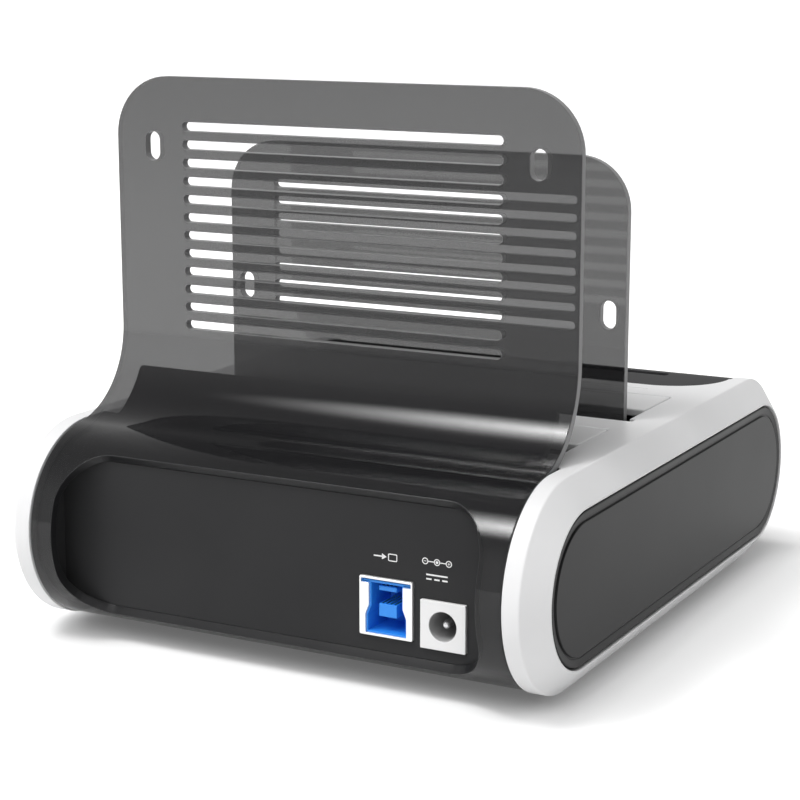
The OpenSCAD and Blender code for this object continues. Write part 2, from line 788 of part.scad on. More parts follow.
module drive_socket(y0) {
  slot_y = [-slot_gap / 2, slot_gap / 2];
  slot_z = [socket_h - slot_deep, socket_h + 1];
  translate([socket_x, y0 - socket_back, board_top]) difference() {
    union() {
      block([-socket_w / 2, socket_w / 2], [-socket_d / 2, socket_d / 2], [0, socket_h]);
      for (side = [-1, 1]) translate([side * guide_x, 0, 0])
        block([-guide_w / 2, guide_w / 2], [-guide_d / 2, guide_d / 2], [socket_h - 1, socket_h + guide_h]);
    }
    block([-slots_end, data_slot - slots_end], slot_y, slot_z);
    block([slots_end - power_slot, slots_end], slot_y, slot_z);
  }
}

module drive_socket_rear() { color("#1e1e20") drive_socket(bay_rear_y); }
module drive_socket_front() { color("#1e1e20") drive_socket(bay_front_y); }

// Spring contacts along one wall of the two slots: seven for data, fifteen for power
contact_step = 1.27;
contact_w = 0.7;
contact_t = 0.4;
contact_drop = 0.8;

module socket_contacts(y0) {
  contact_x = concat(
    [for (i = [0 : 6]) data_slot / 2 - slots_end + (i - 3) * contact_step],
    [for (i = [0 : 14]) slots_end - power_slot / 2 + (i - 7) * contact_step]
  );
  translate([socket_x, y0 - socket_back + slot_gap / 2, board_top + socket_h - slot_deep])
    for (x = contact_x)
      block([x - contact_w / 2, x + contact_w / 2], [-contact_t, 0], [0, slot_deep - contact_drop]);
}

module socket_contacts_rear() { color("gold") socket_contacts(bay_rear_y); }
module socket_contacts_front() { color("gold") socket_contacts(bay_front_y); }

// Opening of the data socket: wide below, drawn in above, with a wide strip under the roof
opening_low_w = 9.4;
opening_high_w = 7.8;
data_wall = 0.4;
data_plate = 0.5;
opening_strip_w = data_w - 2 * data_wall;
opening_floor = data_plate - data_h / 2;
opening_roof = data_h / 2 - data_plate;
strip_h = 0.9;
slope_low = -1.8;
slope_high = 0.2;

module data_opening(shrink) {
  low = opening_low_w / 2 - shrink;
  high = opening_high_w / 2 - shrink;
  strip = opening_strip_w / 2 - shrink;
  floor_z = opening_floor + shrink;
  strip_z = opening_roof - strip_h + shrink;
  roof_z = opening_roof - shrink;
  polygon([
    [-low, floor_z], [low, floor_z], [low, slope_low], [high, slope_high],
    [high, strip_z], [strip, strip_z], [strip, roof_z], [-strip, roof_z],
    [-strip, strip_z], [-high, strip_z], [-high, slope_high], [-low, slope_low]
  ]);
}

data_y = panel_y + connector_proud;
data_mid_z = board_top + data_lift + data_h / 2;

// Metal shell of the data socket, with two pegs on the board
peg_x = 4.5;
peg_w = 1.8;

module data_socket_shell() {
  color("gainsboro") {
    difference() {
      translate([-data_x, 0, data_mid_z]) along_y(data_y - data_l, data_y)
        square([data_w, data_h], center = true);
      translate([-data_x, 0, data_mid_z]) along_y(data_y - data_l - 1, data_y + 1) data_opening(0);
    }
    for (side = [-1, 1])
      translate([-data_x + side * peg_x, data_y - data_l + peg_w, board_top + data_lift / 2])
        cube([peg_w, peg_w, data_lift], center = true);
  }
}

// Blue insulator of the data socket: back, floor and ceiling with two contact tongues
module data_socket_insert() {
  back_y = data_y - data_l;
  deep_y = data_y - 9;
  lining_y = [deep_y - eps, data_y - 0.4];
  tongue_y = [deep_y - eps, data_y - 1];
  low_x = opening_low_w / 2 - fit_gap;
  strip_x = opening_strip_w / 2 - fit_gap;
  floor_z = opening_floor + fit_gap;
  roof_z = opening_roof - fit_gap;
  lining_t = strip_h - 2 * fit_gap;
  tongue_x = 2.05;
  tongue_z = [-2.2, 0.5];
  upper_z = [3.3, 4.3];
  color("#1f63d6") translate([-data_x, 0, data_mid_z]) {
    along_y(back_y, deep_y) data_opening(fit_gap);
    block([-low_x, low_x], lining_y, [floor_z, floor_z + lining_t]);
    block([-strip_x, strip_x], lining_y, [roof_z - lining_t, roof_z]);
    for (z = [tongue_z, upper_z]) block([-tongue_x, tongue_x], tongue_y, z);
  }
}

// Square power jack with a round hole
bore_deep = 9.5;
jack_z = board_top + jack_side / 2;

module power_jack() {
  color("ivory") difference() {
    translate([-jack_x, 0, jack_z]) along_y(data_y - jack_l, data_y) square(jack_side, center = true);
    rod_y(-jack_x, jack_z, jack_bore_r, data_y - bore_deep, data_y + 1);
  }
}

// Centre pin on the back wall of the power jack
module jack_pin() {
  tip_y = data_y - 1 - jack_pin_r;
  color("silver") {
    rod_y(-jack_x, jack_z, jack_pin_r, data_y - bore_deep, tip_y);
    translate([-jack_x, tip_y, jack_z]) sphere(jack_pin_r);
  }
}

// Upright board behind the front cover
module button_board() {
  half_h = sqrt(pow(sheet_r - cover_t, 2) - pow(button_board_y + end_y - board_t, 2)) - 1.2;
  color("darkgreen")
    block([-slit_l / 2, slit_l / 2], [button_board_y - board_t, button_board_y],
          [board_top + 0.6, mid_z + half_h]);
}

// Right-angle pin header that carries the upright board on the main board
header_w = 12.8;
header_l = 6;
header_h = 2.6;

module link_header() {
  color("#222") block([-header_w / 2, header_w / 2], [button_board_y, board_front_y + header_l],
                      [board_top, board_top + header_h]);
}

// Two push switches on the front of the upright board, with a hole for the button's stem
module push_switches() {
  front_y = button_board_y - board_t - switch_h;
  color("#444") for (x = [-button_x, button_x]) difference() {
    block([x - switch_side / 2, x + switch_side / 2], [front_y, button_board_y - board_t],
          [mid_z - switch_side / 2, mid_z + switch_side / 2]);
    rod_y(x, mid_z, stem_r + run_gap, front_y - 1, front_y + stem_deep);
  }
}

// Three status lights on the rear of the upright board
module status_lights() {
  color("white") for (x = light_x)
    block([x - light_w / 2, x + light_w / 2], [button_board_y, button_board_y + 1],
          [light_z, light_z + light_h]);
}

// Clear bar that carries the lights up into the slit of the front cover
module light_bar() {
  inner_r = sheet_r - cover_t;
  bar_y = [slit_y - 1.3, slit_y + 1.3];
  bar_top = mid_z + sqrt(pow(inner_r, 2) - pow(bar_y[0] + end_y, 2)) - run_gap;
  fin_top = mid_z + sqrt(pow(sheet_r, 2) - pow(slit_y - slit_w / 2 + end_y, 2)) - 0.15;
  color("lightgray") {
    block([-slit_l / 2 + 0.2, slit_l / 2 - 0.2], bar_y, [light_z, bar_top]);
    block([-slit_l / 2 + 0.2, slit_l / 2 - 0.2], [slit_y - slit_w / 2 + 0.15, slit_y + slit_w / 2 - 0.15],
          [bar_top - 1, fin_top]);
    for (x = light_x) block([x - light_w / 2, x + light_w / 2],
                            [button_board_y + 1 + run_gap, bar_y[0] + 1], [light_z, light_z + light_h]);
  }
}

// Push button: cap with a bevelled edge in the front cover, flange behind it, stem into its switch
button_edge = 0.4;
button_flange = 1.2;
stem_deep = 2.6;

module button(x) {
  cover_inner = -end_y - sqrt(pow(sheet_r - cover_t, 2) - pow(button_r + button_flange, 2));
  flange_y = cover_inner + run_gap + 0.1;
  switch_y = button_board_y - board_t - switch_h;
  cap_y = 0.05 - body_l / 2;
  rod_y(x, mid_z, button_r, cap_y + button_edge, flange_y + 0.2);
  translate([x, cap_y + button_edge, mid_z]) rotate([90, 0, 0])
    cylinder(h = button_edge, r1 = button_r, r2 = button_r - button_edge);
  rod_y(x, mid_z, button_r + button_flange, flange_y, flange_y + button_flange);
  rod_y(x, mid_z, stem_r, flange_y + button_flange / 2, switch_y + stem_deep - button_travel - 0.2);
}

module power_button() { color("#1d1d1f") button(button_x); }
module copy_button() { color("#1d1d1f") button(-button_x); }

top_housing();
end_frame_left();
end_frame_right();
side_panel_left();
side_panel_right();
rear_guard();
rear_shell();
middle_guard();
front_cover();
base_tray();
feet();
base_screws();
guard_screws();
bay_liner_rear();
bay_liner_front();
flap_rear();
flap_front();
flap_pin_rear();
flap_pin_front();
flap_spring_rear();
flap_spring_front();
main_board();
board_screws();
bridge_chip();
small_chips();
capacitors();
coils();
crystal();
drive_socket_rear();
drive_socket_front();
socket_contacts_rear();
socket_contacts_front();
data_socket_shell();
data_socket_insert();
power_jack();
jack_pin();
button_board();
link_header();
push_switches();
status_lights();
light_bar();
power_button();
copy_button();
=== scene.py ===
import math

import bmesh
import bpy
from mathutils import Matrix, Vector


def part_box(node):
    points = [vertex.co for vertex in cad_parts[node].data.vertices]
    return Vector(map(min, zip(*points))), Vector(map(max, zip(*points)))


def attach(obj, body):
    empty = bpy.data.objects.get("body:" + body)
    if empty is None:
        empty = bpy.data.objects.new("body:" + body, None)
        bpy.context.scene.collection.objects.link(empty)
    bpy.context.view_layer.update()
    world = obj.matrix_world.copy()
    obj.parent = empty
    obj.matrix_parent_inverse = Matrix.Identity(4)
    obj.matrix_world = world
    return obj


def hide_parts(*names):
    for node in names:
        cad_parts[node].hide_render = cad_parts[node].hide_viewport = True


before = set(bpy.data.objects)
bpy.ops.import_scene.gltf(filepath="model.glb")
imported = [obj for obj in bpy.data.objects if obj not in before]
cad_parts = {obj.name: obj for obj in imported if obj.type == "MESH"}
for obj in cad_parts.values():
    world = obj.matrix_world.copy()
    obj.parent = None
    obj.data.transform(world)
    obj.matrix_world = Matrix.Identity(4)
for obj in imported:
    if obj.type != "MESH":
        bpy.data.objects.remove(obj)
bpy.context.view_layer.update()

# Base tray
# The black floor of the station: a matte moulding with standoffs for the main board, shallow
# pockets for the feet and sunk holes for its screws. Piece sizes in this file are millimetres.
MM = 0.001


def box_of(name):
    """Lowest and highest corner of a solid of the frame, in millimetres."""
    return [tuple(round(c / MM, 3) for c in corner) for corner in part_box(name)]


fit_gap = 0.1
run_gap = 0.3
base_low, base_high = box_of("base_tray")
base_x, base_rear, board_z = base_high
lip_front, under_z = base_low[1:]
base_t = 2.0
cover_tail = box_of("front_cover")[1][1]
base_front = cover_tail + run_gap
lip_l = 6.0
lip_z = under_z + base_t + fit_gap
head_r = 2.6
head_h = 1.2
head_gap = 0.2
post_x = box_of("base_screws")[1][0] - head_r
post_rear = base_rear - 5.3
post_front = base_front - 5.2
standoff_r = 3.2
standoff_hole_r = 1.5
standoff_hole = 4.0
standoff_chamfer = 0.2
standoff_x = box_of("board_screws")[1][0] - head_r
standoff_y = (26.1, -22.1)
foot_r = 5.0
foot_pocket = 0.5
foot_x = box_of("feet")[1][0] - foot_r
foot_y = (33.1, -26.1)


def moulded(name, dark, light, rough, grain=2500, depth=0.01, **sockets):
    """Moulded material: a faint cloud in colour and gloss, and a fine even grain of the given depth."""
    mat = bpy.data.materials.new(name)
    mat.use_nodes = True
    nodes, links = mat.node_tree.nodes, mat.node_tree.links
    shader = nodes["Principled BSDF"]
    place = nodes.new("ShaderNodeTexCoord")
    cloud = nodes.new("ShaderNodeTexNoise")
    cloud.inputs["Scale"].default_value = 45
    cloud.inputs["Detail"].default_value = 3
    tint = nodes.new("ShaderNodeValToRGB")
    tint.color_ramp.elements[0].position = 0.3
    tint.color_ramp.elements[0].color = (*dark, 1)
    tint.color_ramp.elements[1].position = 0.7
    tint.color_ramp.elements[1].color = (*light, 1)
    gloss = nodes.new("ShaderNodeMapRange")
    gloss.inputs["To Min"].default_value = rough * 0.9
    gloss.inputs["To Max"].default_value = rough * 1.1
    fine = nodes.new("ShaderNodeTexNoise")
    fine.inputs["Scale"].default_value = grain
    fine.inputs["Detail"].default_value = 2
    bump = nodes.new("ShaderNodeBump")
    bump.inputs["Strength"].default_value = 0.3
    bump.inputs["Distance"].default_value = depth * MM
    for texture in (cloud, fine):
        links.new(place.outputs["Object"], texture.inputs["Vector"])
    links.new(cloud.outputs[0], tint.inputs[0])
    links.new(cloud.outputs[0], gloss.inputs["Value"])
    links.new(tint.outputs[0], shader.inputs["Base Color"])
    links.new(gloss.outputs[0], shader.inputs["Roughness"])
    links.new(fine.outputs[0], bump.inputs["Height"])
    links.new(bump.outputs[0], shader.inputs["Normal"])
    for socket, value in sockets.items():
        shader.inputs[socket.replace("_", " ")].default_value = value
    return mat


def linked(thing):
    """Puts a new object into the scene."""
    bpy.context.collection.objects.link(thing)
    return thing


def fitted(name, bm, materials, body, slot, *replaced, crease=32):
    """Makes a piece from a bmesh in millimetres: smooth, sharp only at real edges, and with its
    place in the frame."""
    bmesh.ops.remove_doubles(bm, verts=bm.verts, dist=1e-4)
    bmesh.ops.recalc_face_normals(bm, faces=bm.faces)
    bmesh.ops.scale(bm, vec=(MM, MM, MM), verts=bm.verts)
    mesh = bpy.data.meshes.new(name)
    bm.to_mesh(mesh)
    bm.free()
    for mat in materials:
        mesh.materials.append(mat)
    mesh.polygons.foreach_set("use_smooth", [True] * len(mesh.polygons))
    mesh.set_sharp_from_angle(angle=math.radians(crease))
    piece = linked(bpy.data.objects.new(name, mesh))
    even = piece.modifiers.new("even_shading", "WEIGHTED_NORMAL")
    even.keep_sharp = True
    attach(piece, body)
    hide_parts(*replaced)


def corner_arc(before, corner, after, radius, steps):
    """Points of an arc that rounds the corner of a profile."""
    a = (Vector(before) - Vector(corner)).normalized()
    b = (Vector(after) - Vector(corner)).normalized()
    half = math.acos(max(-1, min(1, a.dot(b)))) / 2
    reach = radius / math.tan(half)
    centre = Vector(corner) + (a + b).normalized() * radius / math.sin(half)
    start = Vector(corner) + a * reach - centre
    end = Vector(corner) + b * reach - centre
    sweep = math.pi - 2 * half
    points = []
    for k in range(steps + 1):
        t = k / steps
        mix = (start * math.sin((1 - t) * sweep) + end * math.sin(t * sweep)) / math.sin(sweep)
        points.append(tuple(centre + mix))
    return points


def rounded(corners, radii, steps=6):
    """A function that gives a closed outline with round corners, drawn in by an inset."""
    def outline(inset):
        shape = []
        count = len(corners)
        for k in range(count):
            before, here, after = (Vector(corners[(k + i) % count]) for i in (-1, 0, 1))
            a = (before - here).normalized()
            b = (after - here).normalized()
            half = math.acos(max(-1, min(1, a.dot(b)))) / 2
            outward = 1 if a.x * b.y - a.y * b.x < 0 else -1
            moved = here + (a + b).normalized() * inset / math.sin(half) * outward
            radius = max(radii[k] - outward * inset, 1e-3)
            shape += corner_arc(moved + a, moved, moved + b, radius, steps)
        return shape
    return outline


def oblong(u, v, half_u, half_v, radius, steps=6):
    """Outline of a rectangle with round corners about (u, v), anticlockwise."""
    signs = ((-1, -1), (1, -1), (1, 1), (-1, 1))
    return rounded([(u + i * half_u, v + j * half_v) for i, j in signs], [radius] * 4, steps)


def disc(u, v, r, steps=32):
    """Outline of a round hole or disc about (u, v), anticlockwise."""
    def outline(inset):
        turns = [2 * math.pi * k / steps for k in range(steps)]
        return [(u + (r - inset) * math.cos(t), v + (r - inset) * math.sin(t)) for t in turns]
    return outline


def cut_plate(bm, outline, thick, place, soft=0, holes=(), blind=(), bends=(), edge_slot=0,
              blind_slot=0, hole_soft=None):
    """A plate cut to an outline, with holes (outline, wall material) right through and blind ones
    (outline, depth), its edges rounded by soft. place(u, v, d) puts a flat point at depth d into the
    model, and bends lists the v where the plate folds."""
    flat = bmesh.new()
    hole_soft = soft if hole_soft is None else hole_soft
    arc = [math.pi / 2 * k / 3 for k in range(4)]

    def ring(points, d):
        return [flat.verts.new((u, v, d)) for u, v in points]

    def edges_of(loop):
        return [flat.edges.get((loop[k], loop[k - 1])) or flat.edges.new((loop[k], loop[k - 1]))
                for k in range(len(loop))]

    def skin(rings, slots):
        for low, high, slot in zip(rings, rings[1:], slots):
            for k in range(len(low)):
                quad = (low[k - 1], low[k], high[k], high[k - 1])
                flat.faces.new(quad).material_index = slot

    top, bottom = [], []
    cuts = [(outline, 1, soft, edge_slot, 0)]
    cuts += [(shape, -1, hole_soft, slot, slot) for shape, slot in holes]
    for shape, sign, round_by, slot, rim_slot in cuts:
        steps = [(round_by * (1 - math.sin(t)), round_by * (1 - math.cos(t))) for t in arc]
        if round_by == 0:
            steps = [(0, 0)]
        wall = steps + [(inset, thick - d) for inset, d in reversed(steps)]
        rings = [ring(shape(sign * inset), d) for inset, d in wall]
        rounds = [rim_slot] * (len(steps) - 1)
        skin(rings, rounds + [slot] + rounds)
        top += edges_of(rings[0])
        bottom += edges_of(rings[-1])
    for shape, deep in blind:
        chamfer = min(0.1, deep / 3)
        rings = [ring(shape(-chamfer), 0), ring(shape(0), chamfer), ring(shape(0), deep)]
        skin(rings, [blind_slot] * 2)
        top += edges_of(rings[0])
        floor_fill = bmesh.ops.triangle_fill(flat, edges=edges_of(rings[-1]), use_beauty=True)
        for face in (g for g in floor_fill["geom"] if isinstance(g, bmesh.types.BMFace)):
            face.material_index = blind_slot
    for loops in (top, bottom):
        bmesh.ops.triangle_fill(flat, edges=loops, use_beauty=True)
    for v in bends:
        whole = flat.verts[:] + flat.edges[:] + flat.faces[:]
        bmesh.ops.bisect_plane(flat, geom=whole, plane_co=(0, v, 0), plane_no=(0, 1, 0), dist=1e-4)
    flat.verts.index_update()
    made = [bm.verts.new(place(*vert.co)) for vert in flat.verts]
    for face in flat.faces:
        bm.faces.new([made[v.index] for v in face.verts]).material_index = face.material_index
    flat.free()


def turned(bm, profile, place, steps=40):
    """Spins a profile of (radius, height) points about an axis; place(a, b, height) sets it in the
    model."""
    turns = [2 * math.pi * k / steps for k in range(steps)]
    rings = []
    for r, h in profile:
        rings.append([bm.verts.new(place(r * math.cos(t), r * math.sin(t), h)) for t in turns])
    for low, high in zip(rings, rings[1:]):
        for k in range(steps):
            bm.faces.new((low[k - 1], low[k], high[k], high[k - 1]))
    for ring in (rings[0], rings[-1]):
        bm.faces.new(ring)


black_plastic = moulded("matte_black_plastic", (0.027, 0.027, 0.028), (0.031, 0.031, 0.032),
                        rough=0.55, grain=2500, depth=0.002, Specular_IOR_Level=0.12)
bm = bmesh.new()
floor_outline = oblong(0, (base_front + base_rear) / 2, base_x, (base_rear - base_front) / 2, 0.6)
wells = [(disc(x, post_rear, head_r + head_gap, 28), head_h + fit_gap) for x in (-post_x, post_x)]
wells += [(disc(x, y, foot_r + fit_gap, 36), foot_pocket) for x in (-foot_x, foot_x) for y in foot_y]
cut_plate(bm, floor_outline, base_t, lambda u, v, d: (u, v, under_z + d), soft=0.35, blind=wells)
lip_rear = base_front + lip_l
lip_outline = oblong(0, (lip_front + lip_rear) / 2, base_x, (lip_rear - lip_front) / 2, 0.6)
cut_plate(bm, lip_outline, base_t, lambda u, v, d: (u, v, lip_z + d), soft=0.3)
standoff = [(standoff_hole_r, board_z - standoff_hole), (standoff_hole_r, board_z),
            (standoff_r - standoff_chamfer, board_z), (standoff_r, board_z - standoff_chamfer),
            (standoff_r, under_z + base_t)]
for x in (-standoff_x, standoff_x):
    for y in standoff_y:
        turned(bm, standoff, lambda a, b, h: (x + a, y + b, h), 28)
fitted("base_moulding", bm, [black_plastic], "housing", "black_shell", "base_tray")

# Feet
# Four round rubber pads, pressed out of sheet and glued into the pockets of the base. Each stands
# on a narrow ring round a slightly dished middle.
contact_r = 4.4
dish = 0.12
rubber = moulded("black_rubber", (0.018, 0.018, 0.018), (0.026, 0.026, 0.026),
                 rough=0.8, grain=1500, depth=0.03)
bm = bmesh.new()
pad = [(contact_r - 0.8, dish), (contact_r - 0.4, 0), (contact_r, 0), (contact_r + 0.35, 0.2),
       (foot_r, 0.6), (foot_r, under_z + foot_pocket)]
for x in (-foot_x, foot_x):
    for y in foot_y:
        turned(bm, pad, lambda a, b, h: (x + a, y + b, h))
fitted("rubber_pads", bm, [rubber], "housing", "rubber_foot", "feet")

# Screws
# Pan head screws with a cross recess: four of nickel plated steel hold the base and four the main
# board, three blackened ones the tail of the rear guard.
screw_r = 1.4
tip_r = 0.9
tip_l = 0.6
cross_half = 0.35
cross_reach = 1.6
cross_deep = 0.6
quarter = [(cross_reach, -cross_half), (cross_reach, cross_half), (cross_half, cross_half)]
cross_corners = []
for k in range(4):
    c, s = math.cos(math.pi / 2 * k), math.sin(math.pi / 2 * k)
    cross_corners += [(u * c - v * s, u * s + v * c) for u, v in quarter]
cross_recess = rounded(cross_corners, [0.12] * 12, 3)
guard_screw_low, guard_screw_high = box_of("guard_screws")
guard_screw_x = guard_screw_high[0] - head_r
guard_screw_y = (guard_screw_low[1] + guard_screw_high[1]) / 2
base_spots = [(x, y) for x in (-post_x, post_x) for y in (post_rear, post_front)]
guard_spots = [(x, guard_screw_y) for x in (-guard_screw_x, 0, guard_screw_x)]
steel = moulded("plated_steel", (0.58, 0.58, 0.59), (0.70, 0.70, 0.71),
                rough=0.24, grain=1800, depth=0.01, Metallic=1.0)
black_steel = moulded("blackened_steel", (0.02, 0.02, 0.021), (0.03, 0.03, 0.031),
                      rough=0.4, grain=1800, depth=0.01, Metallic=0.5)
for name, spots, metal in (("base_screws", base_spots, steel), ("guard_screws", guard_spots, black_steel)):
    head_z, tip_z = (corner[2] for corner in box_of(name))
    shank = [(screw_r, head_z + head_h), (screw_r, tip_z - tip_l), (tip_r, tip_z)]
    bm = bmesh.new()
    for x, y in spots:
        cut_plate(bm, disc(0, 0, head_r, 32), head_h, lambda u, v, d: (x + u, y + v, head_z + d),
                  soft=0.4, blind=[(cross_recess, cross_deep)])
        turned(bm, shank, lambda a, b, h: (x + a, y + b, h), 20)
    fitted("cross_head_" + name, bm, [metal], "housing", "steel", name)

# Circuit boards
# Glass fibre boards with a green solder mask: the main board on the standoffs of the base and the
# small upright board behind the front cover. Parts are soldered on and show as they were built.


def dress(mat, *names, soft=0.15):
    """Gives solids that show as they are their material, and takes the sharpness off their edges."""
    for name in names:
        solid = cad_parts[name]
        solid.data.materials.clear()
        solid.data.materials.append(mat)
        join = solid.modifiers.new("joined_faces", "WELD")
        join.merge_threshold = 1e-6
        flat = solid.modifiers.new("whole_faces", "DECIMATE")
        flat.decimate_type = "DISSOLVE"
        flat.angle_limit = math.radians(1)
        edge = solid.modifiers.new("rounded_edges", "BEVEL")
        edge.width = soft * MM
        edge.segments = 2
        edge.limit_method = "ANGLE"
        edge.angle_limit = math.radians(40)


def solder_mask():
    """Green mask with the traces under it showing as paler lines."""
    mat = moulded("solder_mask", (0.012, 0.075, 0.03), (0.018, 0.10, 0.042), rough=0.3)
    nodes, links = mat.node_tree.nodes, mat.node_tree.links
    traces = nodes.new("ShaderNodeTexBrick")
    traces.inputs["Color1"].default_value = (0.012, 0.085, 0.035, 1)
    traces.inputs["Color2"].default_value = (0.016, 0.10, 0.04, 1)
    traces.inputs["Mortar"].default_value = (0.03, 0.19, 0.08, 1)
    traces.inputs["Scale"].default_value = 180
    traces.inputs["Mortar Size"].default_value = 0.03
    links.new(nodes["Texture Coordinate"].outputs["Object"], traces.inputs["Vector"])
    links.new(traces.outputs["Color"], nodes["Principled BSDF"].inputs["Base Color"])
    return mat


black_resin = moulded("black_resin", (0.016, 0.016, 0.017), (0.024, 0.024, 0.025), rough=0.45)
can_metal = moulded("brushed_can", (0.62, 0.63, 0.65), (0.74, 0.75, 0.77),
                    rough=0.32, grain=1200, depth=0.01, Metallic=1.0)
ferrite = moulded("grey_ferrite", (0.055, 0.055, 0.058), (0.085, 0.085, 0.088),
                  rough=0.7, grain=1400, depth=0.03)
dress(solder_mask(), "main_board", "button_board")
dress(black_resin, "bridge_chip", "small_chips", "link_header", "push_switches")
dress(can_metal, "capacitors", "crystal")
dress(ferrite, "coils")
dress(steel, "board_screws")

# Bay liners and drive sockets
# Matte black wells that guide a drive, screwed under the deck, and the combined power and data
# sockets on the main board that reach up through their floors, with gold plated contacts.
gold = moulded("gold_contact", (0.70, 0.50, 0.19), (0.83, 0.62, 0.27), rough=0.25, Metallic=1.0)
dress(black_plastic, "bay_liner_rear", "bay_liner_front", soft=0.2)
dress(black_resin, "drive_socket_rear", "drive_socket_front")
dress(gold, "socket_contacts_rear", "socket_contacts_front", soft=0.03)

# Flaps
# White spring flaps that close the wide part of each bay, moulded with four hinge arms that turn
# on a steel pin under the deck, with a small torsion spring beside an arm.
housing_low, housing_high = box_of("top_housing")
deck_z = housing_high[2]
bay_x = box_of("flap_rear")[1][0] + run_gap
bay_t = 26.8
bay_rear_y = box_of("rear_guard")[0][1]
bay_front_y = box_of("middle_guard")[0][1]
slim_slot = 10.2
flap_t = 1.8
pin_back = 4.5
pin_hole_r = 1.06
barrel_r = 1.9
arm_w = 5.0
arm_web = 5.0
arm_places = (-42, -14, 14, 42)
pin_low, pin_high = box_of("flap_pin_rear")
pin_z = (pin_low[2] + pin_high[2]) / 2
white_plastic = moulded("satin_white_plastic", (0.79, 0.79, 0.795), (0.82, 0.82, 0.825),
                        rough=0.38, grain=3000, depth=0.006)
for name, bay_y in (("flap_rear", bay_rear_y), ("flap_front", bay_front_y)):
    free_y = bay_y - slim_slot
    edge_y = bay_y - bay_t + run_gap
    pin_y = bay_y - bay_t - pin_back
    bm = bmesh.new()
    plate = oblong(0, (free_y + edge_y) / 2, bay_x - run_gap, (free_y - edge_y) / 2, 0.8)
    cut_plate(bm, plate, flap_t, lambda u, v, d: (u, v, deck_z - d), soft=0.4)
    under_y = edge_y + 1
    inside_z = deck_z - flap_t / 2
    arm = rounded([(pin_y - barrel_r, pin_z + barrel_r), (pin_y - barrel_r, pin_z - barrel_r),
                   (pin_y, pin_z - barrel_r), (under_y, pin_z - 0.4), (under_y + arm_web, inside_z),
                   (edge_y, inside_z), (edge_y, pin_z + barrel_r)],
                  [barrel_r - 0.01, barrel_r - 0.01, 0.3, 0.5, 0.3, 1e-3, 0.3], 8)
    for x in arm_places:
        cut_plate(bm, arm, arm_w, lambda u, v, d: (x - arm_w / 2 + d, u, v),
                  soft=0.2, holes=[(disc(pin_y, pin_z, pin_hole_r, 24), 0)])
    fitted(name + "_moulding", bm, [white_plastic], name, "white_flap", name)
dress(steel, "flap_pin_rear", "flap_pin_front", "flap_spring_rear", "flap_spring_front", soft=0.05)

# Top housing
# One satin white moulding: the flat deck with its two drive openings, and a rim along each side
# that runs right round the body beside the guard and the front cover.
end_r = (deck_z - housing_low[2]) / 2
mid_z = deck_z - end_r
end_y = housing_high[1] - end_r
crease_x = housing_high[0]
side_x = box_of("end_frame_right")[1][0]
guard_x = box_of("rear_guard")[1][0]
groove_x = box_of("middle_guard")[1][0] + fit_gap
sheet_t = 2.0
rim_x = guard_x + run_gap
rim_t = 2.4
rim_edge = 0.3
rim_edge_cut = 0.3 * rim_edge
deck_t = 2.2
bevel_h = 5.6
crease_r = 0.7
flange_x = guard_x - 4.4
cover_depth = 38.7
cover_y = cover_depth - housing_high[1]
cover_corner = 15.5
deck_rear = 42.35
deck_rear_side = 48.7
deck_front = cover_y - cover_corner
rim_blend = 0.4
seam = 0.15
seam_y = -33.25
seam_half_l = 43
seam_half_w = 0.25
seam_deep = 0.4
square = 1e-3


def oval_stations(r, shift=0, stops=(), steps=44):
    """Points (y, z) round the body's side outline at a distance r from its two end centres,
    from below the rear, with more points where stops asks for them on the top."""
    stations = []
    for centre, first in ((end_y, -90), (-end_y, 90)):
        for k in range(steps + 1):
            turn = math.radians(first + 180 * k / steps)
            stations.append((centre + shift + r * math.cos(turn), mid_z + r * math.sin(turn)))
        if centre > 0:
            stations += [(y, mid_z + r) for y in stops]
    return stations


notch_x = guard_x + seam
notch_y = cover_y + seam
step_x = flange_x + run_gap
deck_outline = rounded(
    [(-rim_x, deck_front), (-notch_x, deck_front), (-notch_x, notch_y), (notch_x, notch_y),
     (notch_x, deck_front), (rim_x, deck_front), (rim_x, deck_rear_side), (step_x, deck_rear_side),
     (step_x, deck_rear), (-step_x, deck_rear), (-step_x, deck_rear_side), (-rim_x, deck_rear_side)],
    [square] * 2 + [cover_corner] * 2 + [square] * 3 + [0.5] * 4 + [square], 14)
rear_opening = oblong(0, bay_rear_y - bay_t / 2, bay_x, bay_t / 2, 0.5)
front_low = bay_front_y - bay_t
front_step = bay_front_y - fit_gap
front_high = bay_front_y + sheet_t + fit_gap
front_opening = rounded(
    [(-bay_x, front_low), (bay_x, front_low), (bay_x, front_step), (groove_x, front_step),
     (groove_x, front_high), (-groove_x, front_high), (-groove_x, front_step), (-bay_x, front_step)],
    [0.5] * 2 + [0.3] * 6)
deck_seam = oblong(0, seam_y, seam_half_l, seam_half_w, 0.2, 3)

